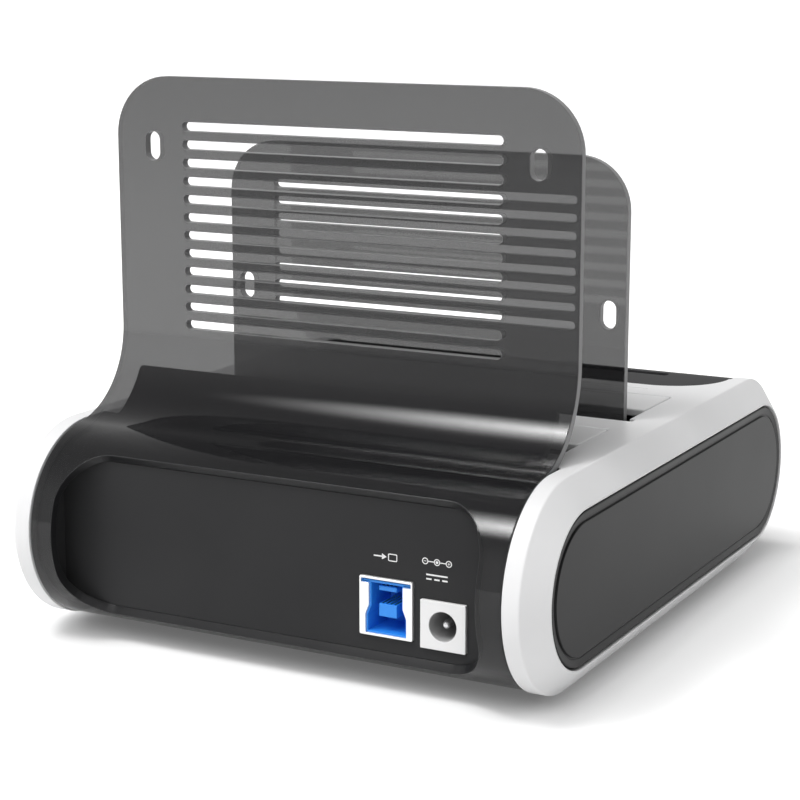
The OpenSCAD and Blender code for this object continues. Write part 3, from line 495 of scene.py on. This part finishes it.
bm = bmesh.new()
cut_plate(bm, deck_outline, deck_t, lambda u, v, d: (u, v, deck_z - d),
          holes=[(rear_opening, 0), (front_opening, 0)], blind=[(deck_seam, seam_deep)], hole_soft=0.3)
crease_arc = corner_arc((rim_x, end_r), (crease_x, end_r), (side_x, end_r - bevel_h), crease_r, 10)
inner_edge = [(rim_x, end_r - rim_edge), (rim_x + rim_edge_cut, end_r - rim_edge_cut),
              (rim_x + rim_edge, end_r)]
rim_profile = [(rim_x, end_r - rim_t), *inner_edge, *crease_arc[:6], (crease_x - 1.0, end_r - rim_t)]
rim_stops = (deck_rear_side + rim_blend, deck_rear_side, deck_front, deck_front - rim_blend)
for side in (-1, 1):
    rings = []
    for x, r in rim_profile:
        ring = []
        for y, z in oval_stations(r, stops=rim_stops):
            at_deck = z > mid_z and deck_front <= y <= deck_rear_side and (x, r) in inner_edge
            spot = (side * rim_x, y, deck_z) if at_deck else (side * x, y, z)
            ring.append(bm.verts.new(spot))
        rings.append(ring)
    rings.append(rings[0])
    for low, high in zip(rings, rings[1:]):
        for k in range(len(low)):
            bm.faces.new((low[k - 1], low[k], high[k], high[k - 1]))
bmesh.ops.dissolve_degenerate(bm, edges=bm.edges, dist=1e-4)
fitted("deck_and_rims", bm, [white_plastic], "housing", "white_shell", "top_housing")

# White end frames
# Two caps that snap onto the sides of the housing, moulded in the same white, with a sloping face
# all round and a pocket for the side panel.
panel_low, panel_high = box_of("side_panel_right")
panel_shift = (panel_low[1] + panel_high[1]) / 2
pocket_x = panel_low[0]
lip_r = end_r - bevel_h
pocket_r = lip_r - 0.4


def oval_rings(bm, profile, side):
    """Skins rings of the body's outline, one for each (x, r, shift) of the profile, with flat ends."""
    rings = []
    for x, r, shift in profile:
        rings.append([bm.verts.new((side * x, y, z)) for y, z in oval_stations(r, shift)])
    for low, high in zip(rings, rings[1:]):
        for k in range(len(low)):
            bm.faces.new((low[k - 1], low[k], high[k], high[k - 1]))
    for ring in (rings[0], rings[-1]):
        bm.faces.new(ring)


lip = corner_arc(crease_arc[-1], (side_x, lip_r), (side_x, pocket_r), 0.3, 4)
lip += corner_arc((side_x, lip_r), (side_x, pocket_r), (pocket_x, pocket_r), 0.1, 3)
cap_profile = [(crease_x - 1.6, end_r - 3, 0)]
cap_profile += [(x, r, 0) for x, r in crease_arc[5:]]
cap_profile += [(x, r, panel_shift) for x, r in lip]
cap_profile += [(pocket_x, pocket_r, panel_shift)]
for name, side in (("end_frame_left", -1), ("end_frame_right", 1)):
    bm = bmesh.new()
    oval_rings(bm, cap_profile, side)
    fitted(name + "_cap", bm, [white_plastic], "housing", "white_shell", name)

# Side panels
# Dark oval plates pressed into the end frames: satin moulded plastic with a fine gap all round and a
# narrow border that slopes in to a fine groove.
panel_x = panel_high[0]
panel_r = pocket_r - 0.45
border = 1.65
border_slope = 0.25
groove = 0.6
groove_deep = 0.4
groove_wall = 0.15
panel_plastic = moulded("dark_side_panel", (0.009, 0.009, 0.0095), (0.012, 0.012, 0.0125),
                        rough=0.35, grain=3000, depth=0.003, Specular_IOR_Level=0.11)
inner_r = panel_r - border
field_r = inner_r - groove
inner_x = panel_x - border_slope
bottom_x = panel_x - groove_deep
groove_outer = (bottom_x, inner_r - groove_wall)
groove_inner = (bottom_x, field_r + groove_wall)
plate = [(pocket_x, panel_r)]
plate += corner_arc((pocket_x, panel_r), (panel_x, panel_r), (inner_x, inner_r), 0.3, 5)
plate += corner_arc((panel_x, panel_r), (inner_x, inner_r), groove_outer, 0.1, 3)
plate += [groove_outer, groove_inner]
plate += corner_arc(groove_inner, (panel_x, field_r), (panel_x, 0), 0.2, 3)
for name, side in (("side_panel_left", -1), ("side_panel_right", 1)):
    bm = bmesh.new()
    oval_rings(bm, [(x, r, panel_shift) for x, r in plate], side)
    fitted(name + "_plate", bm, [panel_plastic], "housing", "side_panel", name)

# Rear shell
# Black matte moulding behind the rear guard: it follows the guard's bend, carries the flat panel
# with the connectors in the middle and ends in a flange that backs the foot of the upright.
sheet_r = end_r - 0.3
guard_y = bay_rear_y + sheet_t
tail_y = base_rear + run_gap
bend_r = 20.0
bend_y = guard_y + bend_r
bend_z = mid_z + math.sqrt((bend_r + sheet_r) ** 2 - (bend_y - end_y) ** 2)
bend_turn = math.atan2(bend_z - mid_z, bend_y - end_y)
tail_l = end_y - tail_y
bulge_l = sheet_r * (bend_turn + math.pi / 2)
bend_l = bend_r * bend_turn
upright_v = tail_l + bulge_l + bend_l
folds = [tail_l + bulge_l * k / 64 for k in range(65)]
folds += [tail_l + bulge_l + bend_l * k / 30 for k in range(1, 31)]


def wrap_place(u, v, d):
    """Point of the rear guard's bend: u across, v along its rear face from the tail, d below that
    face."""
    if v < tail_l:
        return (u, tail_y + v, mid_z - sheet_r + d)
    if v < tail_l + bulge_l:
        turn = (v - tail_l) / sheet_r - math.pi / 2
        r = sheet_r - d
        return (u, end_y + r * math.cos(turn), mid_z + r * math.sin(turn))
    if v < upright_v:
        turn = math.pi + bend_turn - (v - tail_l - bulge_l) / bend_r
        r = bend_r + d
        return (u, bend_y + r * math.cos(turn), bend_z + r * math.sin(turn))
    return (u, guard_y - d, bend_z + v - upright_v)


def on_bend(z, d):
    """The v at which the bend reaches the height z at depth d."""
    return upright_v - bend_r * math.asin((bend_z - z) / (bend_r + d))


shell_d = sheet_t + fit_gap
shell_t = 2.0
shell_r = sheet_r - shell_d
shell_tail_v = post_rear - 4.5 - tail_y
wide_v = on_bend(deck_z + run_gap, shell_d)
flange_v = on_bend(box_of("rear_shell")[1][2], shell_d)
data_low, data_high = box_of("data_socket_shell")
data_half_w = (data_high[0] - data_low[0]) / 2
data_half_h = 6.25
data_x = data_high[0] - data_half_w
data_z = data_high[2] - data_half_h
data_y = data_high[1]
jack_low, jack_high = box_of("power_jack")
jack_half = (jack_high[0] - jack_low[0]) / 2
jack_x = jack_high[0] - jack_half
jack_z = jack_high[2] - jack_half
panel_y = data_y - 0.6
panel_t = 2.0
panel_half_x = guard_x - 1.5
end_wall_t = 1.2
panel_turn = math.acos((panel_y - end_y) / shell_r)
panel_half_z = shell_r * math.sin(panel_turn)
window_v = tail_l + sheet_r * math.pi / 2

bm = bmesh.new()
shell_outline = rounded(
    [(-guard_x, shell_tail_v), (guard_x, shell_tail_v), (guard_x, wide_v), (flange_x, wide_v),
     (flange_x, flange_v), (-flange_x, flange_v), (-flange_x, wide_v), (-guard_x, wide_v)],
    [0.5] * 4 + [1.0] * 2 + [0.5] * 2)
panel_hole = oblong(0, window_v, panel_half_x, sheet_r * panel_turn, 0.3)
cut_plate(bm, shell_outline, shell_t, lambda u, v, d: wrap_place(u, v, d + shell_d),
          soft=0.3, holes=[(panel_hole, 0)], bends=folds, hole_soft=0.1)
panel_outline = oblong(0, mid_z, panel_half_x + 0.2, panel_half_z + 0.2, 0.3)
data_hole = oblong(data_x, data_z, data_half_w + fit_gap, data_half_h + fit_gap, 0.3)
jack_hole = oblong(jack_x, jack_z, jack_half + fit_gap, jack_half + fit_gap, 0.3)
cut_plate(bm, panel_outline, panel_t, lambda u, v, d: (u, panel_y - d, v),
          soft=0.1, holes=[(data_hole, 0), (jack_hole, 0)])


def end_wall(inset):
    """Outline of the round shell's end beyond the flat panel, in (y, z)."""
    r = shell_r - inset
    turns = [panel_turn * (k / 8 - 1) for k in range(17)]
    return [(end_y + r * math.cos(t), mid_z + r * math.sin(t)) for t in turns]


for side in (-1, 1):
    cut_plate(bm, end_wall, end_wall_t, lambda u, v, d: (side * (panel_half_x + d), u, v))
fitted("rear_shell_moulding", bm, [black_plastic], "housing", "black_shell", "rear_shell")

# Printed marks
# Thin white ink on the connector panel, only generic signs: an arrow into a socket over the data
# socket, the polarity sign and the direct current sign over the power jack.
ink_t = 0.04
line_w = 0.2
bar_half = 0.16
ring_r = 0.7
ring_step = 2.65
dot_r = 0.3
sign_half = 0.28
sign_x = jack_x + 1.6
sign_z = 29.15
current_z = sign_z - 3.2
current_gap = 0.45
current_half = 2.4
dash_step = 1.8
dash_half = 0.6
arrow_x = data_x + 0.3
arrow_z = 28.75
arrow_tip = 0.3
arrow_base = 0.8
arrow_half_h = 0.62
shaft_mid = 1.7
shaft_half = 1.0
shaft_half_h = 0.14
box_far = 2.7
box_near = 0.6
box_half_h = 0.8
ink = moulded("white_ink", (0.80, 0.80, 0.80), (0.86, 0.86, 0.86), rough=0.5)
bm = bmesh.new()


def printed(outline, *holes):
    """A flat printed shape on the connector panel."""
    cut_plate(bm, outline, ink_t, lambda u, v, d: (u, panel_y + ink_t - d, v),
              holes=[(hole, 0) for hole in holes])


def bar(x, z, half_w, half_h):
    """A printed bar about (x, z)."""
    printed(oblong(x, z, half_w, half_h, 0.05, 2))


for k in (-1, 0, 1):
    printed(disc(sign_x + k * ring_step, sign_z, ring_r, 28),
            disc(sign_x + k * ring_step, sign_z, ring_r - line_w, 28))
printed(disc(sign_x, sign_z, dot_r, 16))
for k in (-1, 1):
    bar(sign_x + k * ring_step / 2, sign_z, ring_step / 2 - ring_r + 0.02, line_w / 2)
    bar(sign_x + k * ring_step, sign_z, sign_half, line_w / 3)
bar(sign_x - ring_step, sign_z, line_w / 3, sign_half)
bar(sign_x, current_z + current_gap, current_half, bar_half)
for k in (-1, 0, 1):
    bar(sign_x + k * dash_step, current_z - current_gap, dash_half, bar_half)
box_mid = arrow_x - (box_far + box_near) / 2
box_half_w = (box_far - box_near) / 2
printed(oblong(box_mid, arrow_z, box_half_w, box_half_h, 0.3),
        oblong(box_mid, arrow_z, box_half_w - line_w, box_half_h - line_w, 0.12))
bar(arrow_x + shaft_mid, arrow_z, shaft_half, shaft_half_h)
printed(rounded([(arrow_x - arrow_tip, arrow_z), (arrow_x + arrow_base, arrow_z - arrow_half_h),
                 (arrow_x + arrow_base, arrow_z + arrow_half_h)], [0.04] * 3))
fitted("printed_signs", bm, [ink], "housing", "black_shell")

# Data socket
# A square socket for the host: a folded, bright plated shell with a blue insulator inside that
# has a tongue of contacts in the middle and a second row above it.
data_l = data_y - data_low[1]
opening_low = 4.7
opening_high = 3.9
opening_strip = 5.7
opening_floor = -5.75
opening_roof = 5.75
strip_z = 4.85
slope_low = -1.8
slope_high = 0.2
lining_t = 0.35
lining_d = 0.5
deep_d = 9.0
tongue_half = 2.05
tongue_d = 1.0
root = 0.2
tongue_levels = ((-2.2, 0.5), (3.3, 4.3))
contact_step = 0.95
contact_l = 6.0
contact_d = tongue_d + 0.3
contact_half_w = 0.2
contact_half_t = 0.05
contact_lift = 0.03
bright_plate = moulded("bright_plated_shell", (0.88, 0.88, 0.88), (0.93, 0.93, 0.93),
                       rough=0.35, grain=1800, depth=0.004, Metallic=0.6)
blue_plastic = moulded("blue_insulator", (0.020, 0.24, 0.78), (0.028, 0.28, 0.86),
                       rough=0.4, grain=2000, depth=0.004)
half_opening = [(opening_low, opening_floor), (opening_low, slope_low), (opening_high, slope_high),
                (opening_high, strip_z), (opening_strip, strip_z), (opening_strip, opening_roof)]
opening_corners = [(data_x + x, data_z + z) for x, z in half_opening]
opening_corners += [(data_x - x, data_z + z) for x, z in reversed(half_opening)]
opening = rounded(opening_corners, [0.15] * 12, 3)


def from_face(start):
    """A place function for what begins at a depth behind the connectors' front faces."""
    return lambda u, v, d: (u, data_y - start - d, v)


def lining_hole(inset):
    """Outline of the opening that the blue lining leaves."""
    return opening(lining_t + inset)


bm = bmesh.new()
shell_box = oblong(data_x, data_z, data_half_w, data_half_h, 0.35)
cut_plate(bm, shell_box, data_l, from_face(0), soft=0.12, holes=[(opening, 0)])
fitted("plated_socket_shell", bm, [bright_plate], "housing", "steel", "data_socket_shell")

bm = bmesh.new()
cut_plate(bm, opening, deep_d - lining_d, from_face(lining_d), soft=0.05, holes=[(lining_hole, 0)])
cut_plate(bm, opening, data_l - deep_d, from_face(deep_d), soft=0.05)
strip = oblong(data_x, data_z + (strip_z + opening_roof) / 2, opening_strip - fit_gap, 0.35, 0.1)
cut_plate(bm, strip, deep_d - lining_d, from_face(lining_d), soft=0.08)
for low, high in tongue_levels:
    tongue = oblong(data_x, data_z + (low + high) / 2, tongue_half, (high - low) / 2, 0.12)
    cut_plate(bm, tongue, deep_d - tongue_d + root, from_face(tongue_d), soft=0.15)
    for k in range(4):
        contact = oblong(data_x + (k - 1.5) * contact_step, data_z + high + contact_lift,
                         contact_half_w, contact_half_t, 0.02, 2)
        cut_plate(bm, contact, contact_l, from_face(contact_d), edge_slot=1)
fitted("blue_socket_insert", bm, [blue_plastic, gold], "housing", "blue_insulator", "data_socket_insert")

# Power jack
# A square block of white plastic with a metal lined bore and a plated centre pin for the supply's
# plug, soldered to the main board.
jack_l = jack_high[1] - jack_low[1]
bore_r = 3.05
jack_pin_low, jack_pin_high = box_of("jack_pin")
bore_deep = data_y - jack_pin_low[1]
pin_start = data_y - jack_pin_high[1]
pin_r = (jack_pin_high[0] - jack_pin_low[0]) / 2
pin_point = 0.02
jack_plastic = moulded("jack_white", (0.80, 0.80, 0.80), (0.84, 0.84, 0.84),
                       rough=0.4, grain=2500, depth=0.005)
barrel_metal = moulded("jack_barrel", (0.36, 0.36, 0.36), (0.42, 0.42, 0.42),
                       rough=0.4, grain=1800, depth=0.004)
bm = bmesh.new()
cut_plate(bm, oblong(jack_x, jack_z, jack_half, jack_half, 0.2), jack_l, from_face(0),
          soft=0.12, blind=[(disc(jack_x, jack_z, bore_r, 44), bore_deep)], blind_slot=1)
fitted("jack_block", bm, [jack_plastic, barrel_metal], "housing", "jack_body", "power_jack")
bm = bmesh.new()
pin_profile = [(pin_point, pin_start)]
for k in range(1, 6):
    turn = math.pi / 2 * k / 5
    pin_profile.append((pin_r * math.sin(turn), pin_start + pin_r * (1 - math.cos(turn))))
pin_profile.append((pin_r, bore_deep))
turned(bm, pin_profile, lambda a, b, h: from_face(h)(jack_x + a, jack_z + b, 0), 24)
fitted("jack_centre_pin", bm, [steel], "housing", "steel", "jack_pin")

# Smoked guards
# Sheets of clear smoked acrylic, laser cut with rows of vent slots. The rear one is bent hot over a
# former to wrap the rear and rise behind its bay; the middle one stands flat in a groove of the deck.
guard_top = box_of("rear_guard")[1][2]
guard_corner = 13.3
guard_first = 10.8
guard_hole_drop = 15.3
guard_slots = 12
slot_half = 38.9
slot_half_h = 1.0
slot_pitch = 4.0
hole_x = 46.8
hole_half_w = 1.85
hole_half_h = 3.2
window_x = guard_x - 5.4
window_half_z = 17.8
window_corner = 10.0
guard_screw_hole_r = 1.6
edge_alpha = 0.95
inside_alpha = 0.7


def smoked_acrylic(name, dark, light, rough, alpha, **sockets):
    """Clear tinted sheet, smooth but for a very shallow slow wave."""
    return moulded(name, dark, light, rough, grain=300, depth=0.001, Alpha=alpha, **sockets)


def clear_from_inside(mat, outside, inside):
    """A cut edge scatters light outwards, but from within the sheet it shows nearly as clear as a
    face."""
    nodes, links = mat.node_tree.nodes, mat.node_tree.links
    side = nodes.new("ShaderNodeNewGeometry")
    cover = nodes.new("ShaderNodeMapRange")
    cover.inputs["To Min"].default_value = outside
    cover.inputs["To Max"].default_value = inside
    links.new(side.outputs["Backfacing"], cover.inputs["Value"])
    links.new(cover.outputs[0], nodes["Principled BSDF"].inputs["Alpha"])


smoke = smoked_acrylic("smoked_acrylic_face", (0.010, 0.010, 0.011), (0.013, 0.013, 0.014),
                       rough=0.05, alpha=0.675)
smoke_edge = smoked_acrylic("smoked_acrylic_cut_edge", (0.115, 0.115, 0.117), (0.135, 0.135, 0.137),
                            rough=0.35, alpha=edge_alpha)
clear_from_inside(smoke_edge, edge_alpha, inside_alpha)
polished_edge = smoked_acrylic("smoked_acrylic_polished_edge", (0.010, 0.010, 0.011),
                               (0.013, 0.013, 0.014), rough=0.3, alpha=edge_alpha,
                               Specular_IOR_Level=0.35)


def on_upright(z):
    """The v at which the rear guard's upright reaches the height z."""
    return upright_v + z - bend_z


def vents(first_v, count, hole_v):
    """Rows of vent slots downward from first_v, and the two upright holes."""
    rows = [first_v - k * slot_pitch for k in range(count)]
    shapes = [oblong(0, v, slot_half, slot_half_h, slot_half_h - 0.001, 8) for v in rows]
    for x in (-hole_x, hole_x):
        shapes.append(oblong(x, hole_v, hole_half_w, hole_half_h, hole_half_w - 0.001, 8))
    return [(shape, 1) for shape in shapes]


def window(inset):
    """The window is cut square to the rear, so its height shrinks round the bend."""
    flat = oblong(0, 0, window_x, window_half_z, window_corner, 12)(inset)
    return [(u, window_v + sheet_r * math.asin(h / sheet_r)) for u, h in flat]


top_v = on_upright(guard_top)
rear_outline = rounded([(-guard_x, 0), (guard_x, 0), (guard_x, top_v), (-guard_x, top_v)],
                       [0.4, 0.4, guard_corner, guard_corner], 14)
rear_holes = vents(top_v - guard_first, guard_slots, top_v - guard_hole_drop)
rear_holes += [(window, 2)]
rear_holes += [(disc(x, y - tail_y, guard_screw_hole_r, 20), 1) for x, y in guard_spots]
bm = bmesh.new()
cut_plate(bm, rear_outline, sheet_t, wrap_place, soft=0.15, holes=rear_holes, bends=folds, edge_slot=1)
fitted("bent_smoked_guard", bm, [smoke, smoke_edge, polished_edge],
       "housing", "smoked_acrylic", "rear_guard")

mid_low, mid_high = box_of("middle_guard")
foot_half, mid_top = mid_high[0], mid_high[2]
foot_z = mid_low[2]
shoulder_z = deck_z - deck_t - 1
mid_x = bay_x - 0.6
mid_corner = 12.0
mid_first = 9.9
mid_slots = 8
mid_hole_z = deck_z + 23.3
mid_outline = rounded(
    [(-foot_half, foot_z), (foot_half, foot_z), (foot_half, shoulder_z), (mid_x, shoulder_z),
     (mid_x, mid_top), (-mid_x, mid_top), (-mid_x, shoulder_z), (-foot_half, shoulder_z)],
    [0.5, 0.5, 0.5, 0.3, mid_corner, mid_corner, 0.3, 0.5], 12)
bm = bmesh.new()
cut_plate(bm, mid_outline, sheet_t, lambda u, v, d: (u, bay_front_y + sheet_t - d, v),
          soft=0.15, holes=vents(mid_top - mid_first, mid_slots, mid_hole_z), edge_slot=1)
fitted("flat_smoked_guard", bm, [smoke, smoke_edge], "housing", "smoked_acrylic", "middle_guard")

# Front cover
# Dark satin moulding that lies in the deck and wraps the front, with a slit for the status light
# and two round holes for the buttons. Its tail is held by the two front base screws.
cover_t = 2.0
slit_y = -53.0
slit_half_l = 40.5
slit_half_w = 1.1
button_x = 28
button_r = 5.0
front_flat = cover_y + end_y
front_arc = sheet_r * math.pi
cover_plastic = moulded("dark_front_cover", (0.018, 0.018, 0.019), (0.022, 0.022, 0.023),
                        rough=0.55, grain=2000, depth=0.002, Specular_IOR_Level=0.12)


def cover_place(u, v, d):
    """Point of the cover: v runs from its edge on the deck, over the front, to its tail underneath."""
    if v < front_flat:
        return (u, cover_y - v, mid_z + sheet_r - d)
    if v < front_flat + front_arc:
        turn = math.pi / 2 + (v - front_flat) / sheet_r
        r = sheet_r - d
        return (u, -end_y + r * math.cos(turn), mid_z + r * math.sin(turn))
    return (u, -end_y + v - front_flat - front_arc, mid_z - sheet_r + d)


middle_v = front_flat + front_arc + end_y
cover_l = middle_v + cover_tail
button_v = front_flat + front_arc / 2
cover_outline = rounded([(-guard_x, 0), (guard_x, 0), (guard_x, cover_l), (-guard_x, cover_l)],
                        [cover_corner, cover_corner, 0.4, 0.4], 14)
cover_holes = [(oblong(0, cover_y - slit_y, slit_half_l, slit_half_w, 0.5, 5), 0)]
cover_holes += [(disc(x, button_v, button_r + run_gap, 44), 0) for x in (-button_x, button_x)]
cover_wells = [(disc(x, middle_v + post_front, head_r + head_gap, 28), head_h + fit_gap)
               for x in (-post_x, post_x)]
cover_folds = [front_flat + front_arc * k / 64 for k in range(65)]
bm = bmesh.new()
cut_plate(bm, cover_outline, cover_t, cover_place, soft=0.25, holes=cover_holes, blind=cover_wells,
          bends=cover_folds)
fitted("front_cover_moulding", bm, [cover_plastic], "housing", "front_cover", "front_cover")

# Status light
# A bar of dark tinted lens plastic stands in the slit of the front cover, over three small lamps
# on the upright board.
tinted_lens = moulded("tinted_lens", (0.004, 0.004, 0.005), (0.006, 0.006, 0.008),
                      rough=0.5, grain=2000, depth=0.002, Specular_IOR_Level=0.02)
lamp = moulded("lamp_resin", (0.70, 0.72, 0.74), (0.80, 0.82, 0.84), rough=0.3)
dress(tinted_lens, "light_bar", soft=0.08)
dress(lamp, "status_lights", soft=0.1)

# Push buttons
# Two round black caps with a dished face, each with a flange behind the cover and a stem that
# presses its switch.
cap_y, stem_y = (corner[1] for corner in box_of("power_button"))
flange_y = -72.6
flange_t = 1.2
flange_r = 6.2
stem_r = 1.5
cap_plastic = moulded("satin_black_cap", (0.016, 0.016, 0.017), (0.020, 0.020, 0.021),
                      rough=0.32, grain=2200, depth=0.005, Specular_IOR_Level=0.25)
dished_face = [(0.05, 0.35), (1.6, 0.3), (3.0, 0.17), (4.0, 0.03), (4.4, 0), (4.75, 0.1), (4.95, 0.35),
               (button_r, 0.6)]
cap = [(r, cap_y + deep) for r, deep in dished_face]
cap += [(button_r, flange_y), (flange_r, flange_y), (flange_r, flange_y + flange_t),
        (stem_r, flange_y + flange_t), (stem_r, stem_y)]
for name, x in (("power_button", button_x), ("copy_button", -button_x)):
    bm = bmesh.new()
    turned(bm, cap, lambda a, b, h: (x + a, h, mid_z + b), 48)
    fitted(name + "_cap", bm, [cap_plastic], name, "button_cap", name)

# Studio
# A pale sweep of paper under the station, whose glow is weaker close to the station and so paints a darker
# shadow round it; one wide soft light high behind the camera, a softbox with a bright middle overhead that
# draws the streak on the bent sheet, and a white room.


def seen_directly(tree):
    """A value of 1 for rays from the camera, also by way of gloss or glass, and 0 for other light."""
    path = tree.nodes.new("ShaderNodeLightPath")
    seen = path.outputs["Is Camera Ray"]
    for name in ("Is Glossy Ray", "Is Transmission Ray"):
        either = tree.nodes.new("ShaderNodeMath")
        either.operation = "MAXIMUM"
        tree.links.new(seen, either.inputs[0])
        tree.links.new(path.outputs[name], either.inputs[1])
        seen = either.outputs[0]
    return seen


def level_when_seen(tree, away, seen):
    """A level that is away for plain light and follows the output seen for what is seen directly."""
    level = tree.nodes.new("ShaderNodeMapRange")
    level.inputs["To Min"].default_value = away
    tree.links.new(seen_directly(tree), level.inputs["Value"])
    tree.links.new(seen, level.inputs["To Max"])
    return level.outputs[0]


def level_by_distance(tree, stops):
    """A level that follows stops (metres, level) by the distance on the floor from the station's
    outline; for the floor's glow, the low level close to the outline paints the shadow round the station
    darker."""
    here = tree.nodes.new("ShaderNodeTexCoord").outputs["Object"]
    half_size = (side_x * MM, (end_y + end_r) * MM, 0)
    none = (0, 0, 0)
    measures = (("ABSOLUTE", none), ("SUBTRACT", half_size), ("MAXIMUM", none), ("LENGTH", none))
    for operation, value in measures:
        step = tree.nodes.new("ShaderNodeVectorMath")
        step.operation = operation
        step.inputs[1].default_value = value
        tree.links.new(here, step.inputs[0])
        here = step.outputs["Value" if operation == "LENGTH" else "Vector"]
    reach = stops[-1][0]
    share = tree.nodes.new("ShaderNodeMapRange")
    share.inputs["From Max"].default_value = reach
    level = tree.nodes.new("ShaderNodeValToRGB")
    for distance, value in stops[1:-1]:
        level.color_ramp.elements.new(distance / reach)
    for element, (distance, value) in zip(level.color_ramp.elements, stops):
        element.color = (value, value, value, 1)
    tree.links.new(here, share.inputs["Value"])
    tree.links.new(share.outputs[0], level.inputs[0])
    return level.outputs[0]


floor_half = 30
# Painted shadow: the paper's glow is weakest at the station's outline and rises outwards, which paints a
# darker shadow close round the station and plain white paper further off.
floor_glow_with_painted_shadow = [(0, 0.12), (0.006, 0.3), (0.06, 0.42)]
paper = bpy.data.materials.new("studio_paper")
paper.use_nodes = True
paper_tree = paper.node_tree
paper_tree.nodes.clear()
paper_out = paper_tree.nodes.new("ShaderNodeOutputMaterial")
paper_coat = paper_tree.nodes.new("ShaderNodeBsdfDiffuse")
paper_coat.inputs["Color"].default_value = (0.92, 0.92, 0.92, 1)
paper_glow = paper_tree.nodes.new("ShaderNodeEmission")
paper_sum = paper_tree.nodes.new("ShaderNodeAddShader")
paper_level = level_when_seen(paper_tree, 0, level_by_distance(paper_tree, floor_glow_with_painted_shadow))
paper_tree.links.new(paper_level, paper_glow.inputs["Strength"])
paper_tree.links.new(paper_coat.outputs[0], paper_sum.inputs[0])
paper_tree.links.new(paper_glow.outputs[0], paper_sum.inputs[1])
paper_tree.links.new(paper_sum.outputs[0], paper_out.inputs["Surface"])
floor_corners = [(x * floor_half, y * floor_half, 0) for x, y in ((-1, -1), (1, -1), (1, 1), (-1, 1))]
floor_mesh = bpy.data.meshes.new("studio_floor")
floor_mesh.from_pydata(floor_corners, [], [(0, 1, 2, 3)])
floor_mesh.materials.append(paper)
floor = linked(bpy.data.objects.new("studio_floor", floor_mesh))

world = bpy.data.worlds.new("white_room")
bpy.context.scene.world = world
world.use_nodes = True
room_tree = world.node_tree
room = room_tree.nodes["Background"]
room.inputs["Color"].default_value = (1, 1, 1, 1)
direction = room_tree.nodes.new("ShaderNodeTexCoord")
upward = room_tree.nodes.new("ShaderNodeSeparateXYZ")
ceiling = room_tree.nodes.new("ShaderNodeMapRange")
ceiling.inputs["From Min"].default_value = 0.45
ceiling.inputs["From Max"].default_value = 0.85
ceiling.inputs["To Min"].default_value = 1.0
ceiling.inputs["To Max"].default_value = 0.4
room_tree.links.new(direction.outputs["Generated"], upward.inputs[0])
room_tree.links.new(upward.outputs["Z"], ceiling.inputs["Value"])
room_tree.links.new(level_when_seen(room_tree, 0.3, ceiling.outputs[0]), room.inputs["Strength"])

key = bpy.data.lights.new("wide_soft_light", "SUN")
key.energy = 1.75
key.angle = math.radians(60)
key_light = linked(bpy.data.objects.new("wide_soft_light", key))
key_light.rotation_euler = Vector((-0.1, -0.5, -0.85)).to_track_quat("-Z", "Y").to_euler()
key_light.visible_glossy = False

softbox = bpy.data.lights.new("overhead_softbox", "AREA")
softbox.size = 0.72
softbox.energy = 46
softbox.use_nodes = True
cloth = softbox.node_tree
spot = cloth.nodes.new("ShaderNodeNewGeometry")
centred = cloth.nodes.new("ShaderNodeVectorMath")
centred.operation = "MULTIPLY_ADD"
centred.inputs[1].default_value = (2, 2, 0)
centred.inputs[2].default_value = (-1, -1, 0)
fading = cloth.nodes.new("ShaderNodeTexGradient")
fading.gradient_type = "QUADRATIC_SPHERE"
cloth.links.new(spot.outputs["Parametric"], centred.inputs[0])
cloth.links.new(centred.outputs[0], fading.inputs[0])
cloth.links.new(fading.outputs["Fac"], cloth.nodes["Emission"].inputs["Strength"])
softbox_light = linked(bpy.data.objects.new("overhead_softbox", softbox))
softbox_light.location = (0.38, 0.48, 1.05)

# Camera
# Stands where the photograph was taken, behind the station and to one side of it, slightly above.
camera = bpy.data.cameras.new("photo_camera")
camera.lens = 92.754
camera.sensor_width = 36
camera_yaw = math.radians(28.076)
camera_tilt = math.radians(-12.024)
looking = Vector((math.sin(camera_yaw) * math.cos(camera_tilt),
                  -math.cos(camera_yaw) * math.cos(camera_tilt),
                  math.sin(camera_tilt)))
camera_object = linked(bpy.data.objects.new("photo_camera", camera))
camera_object.location = (-0.21718, 0.41866, 0.1466)
camera_object.rotation_euler = looking.to_track_quat("-Z", "Y").to_euler()
bpy.context.scene.camera = camera_object
bpy.context.scene.view_settings.view_transform = "Standard"
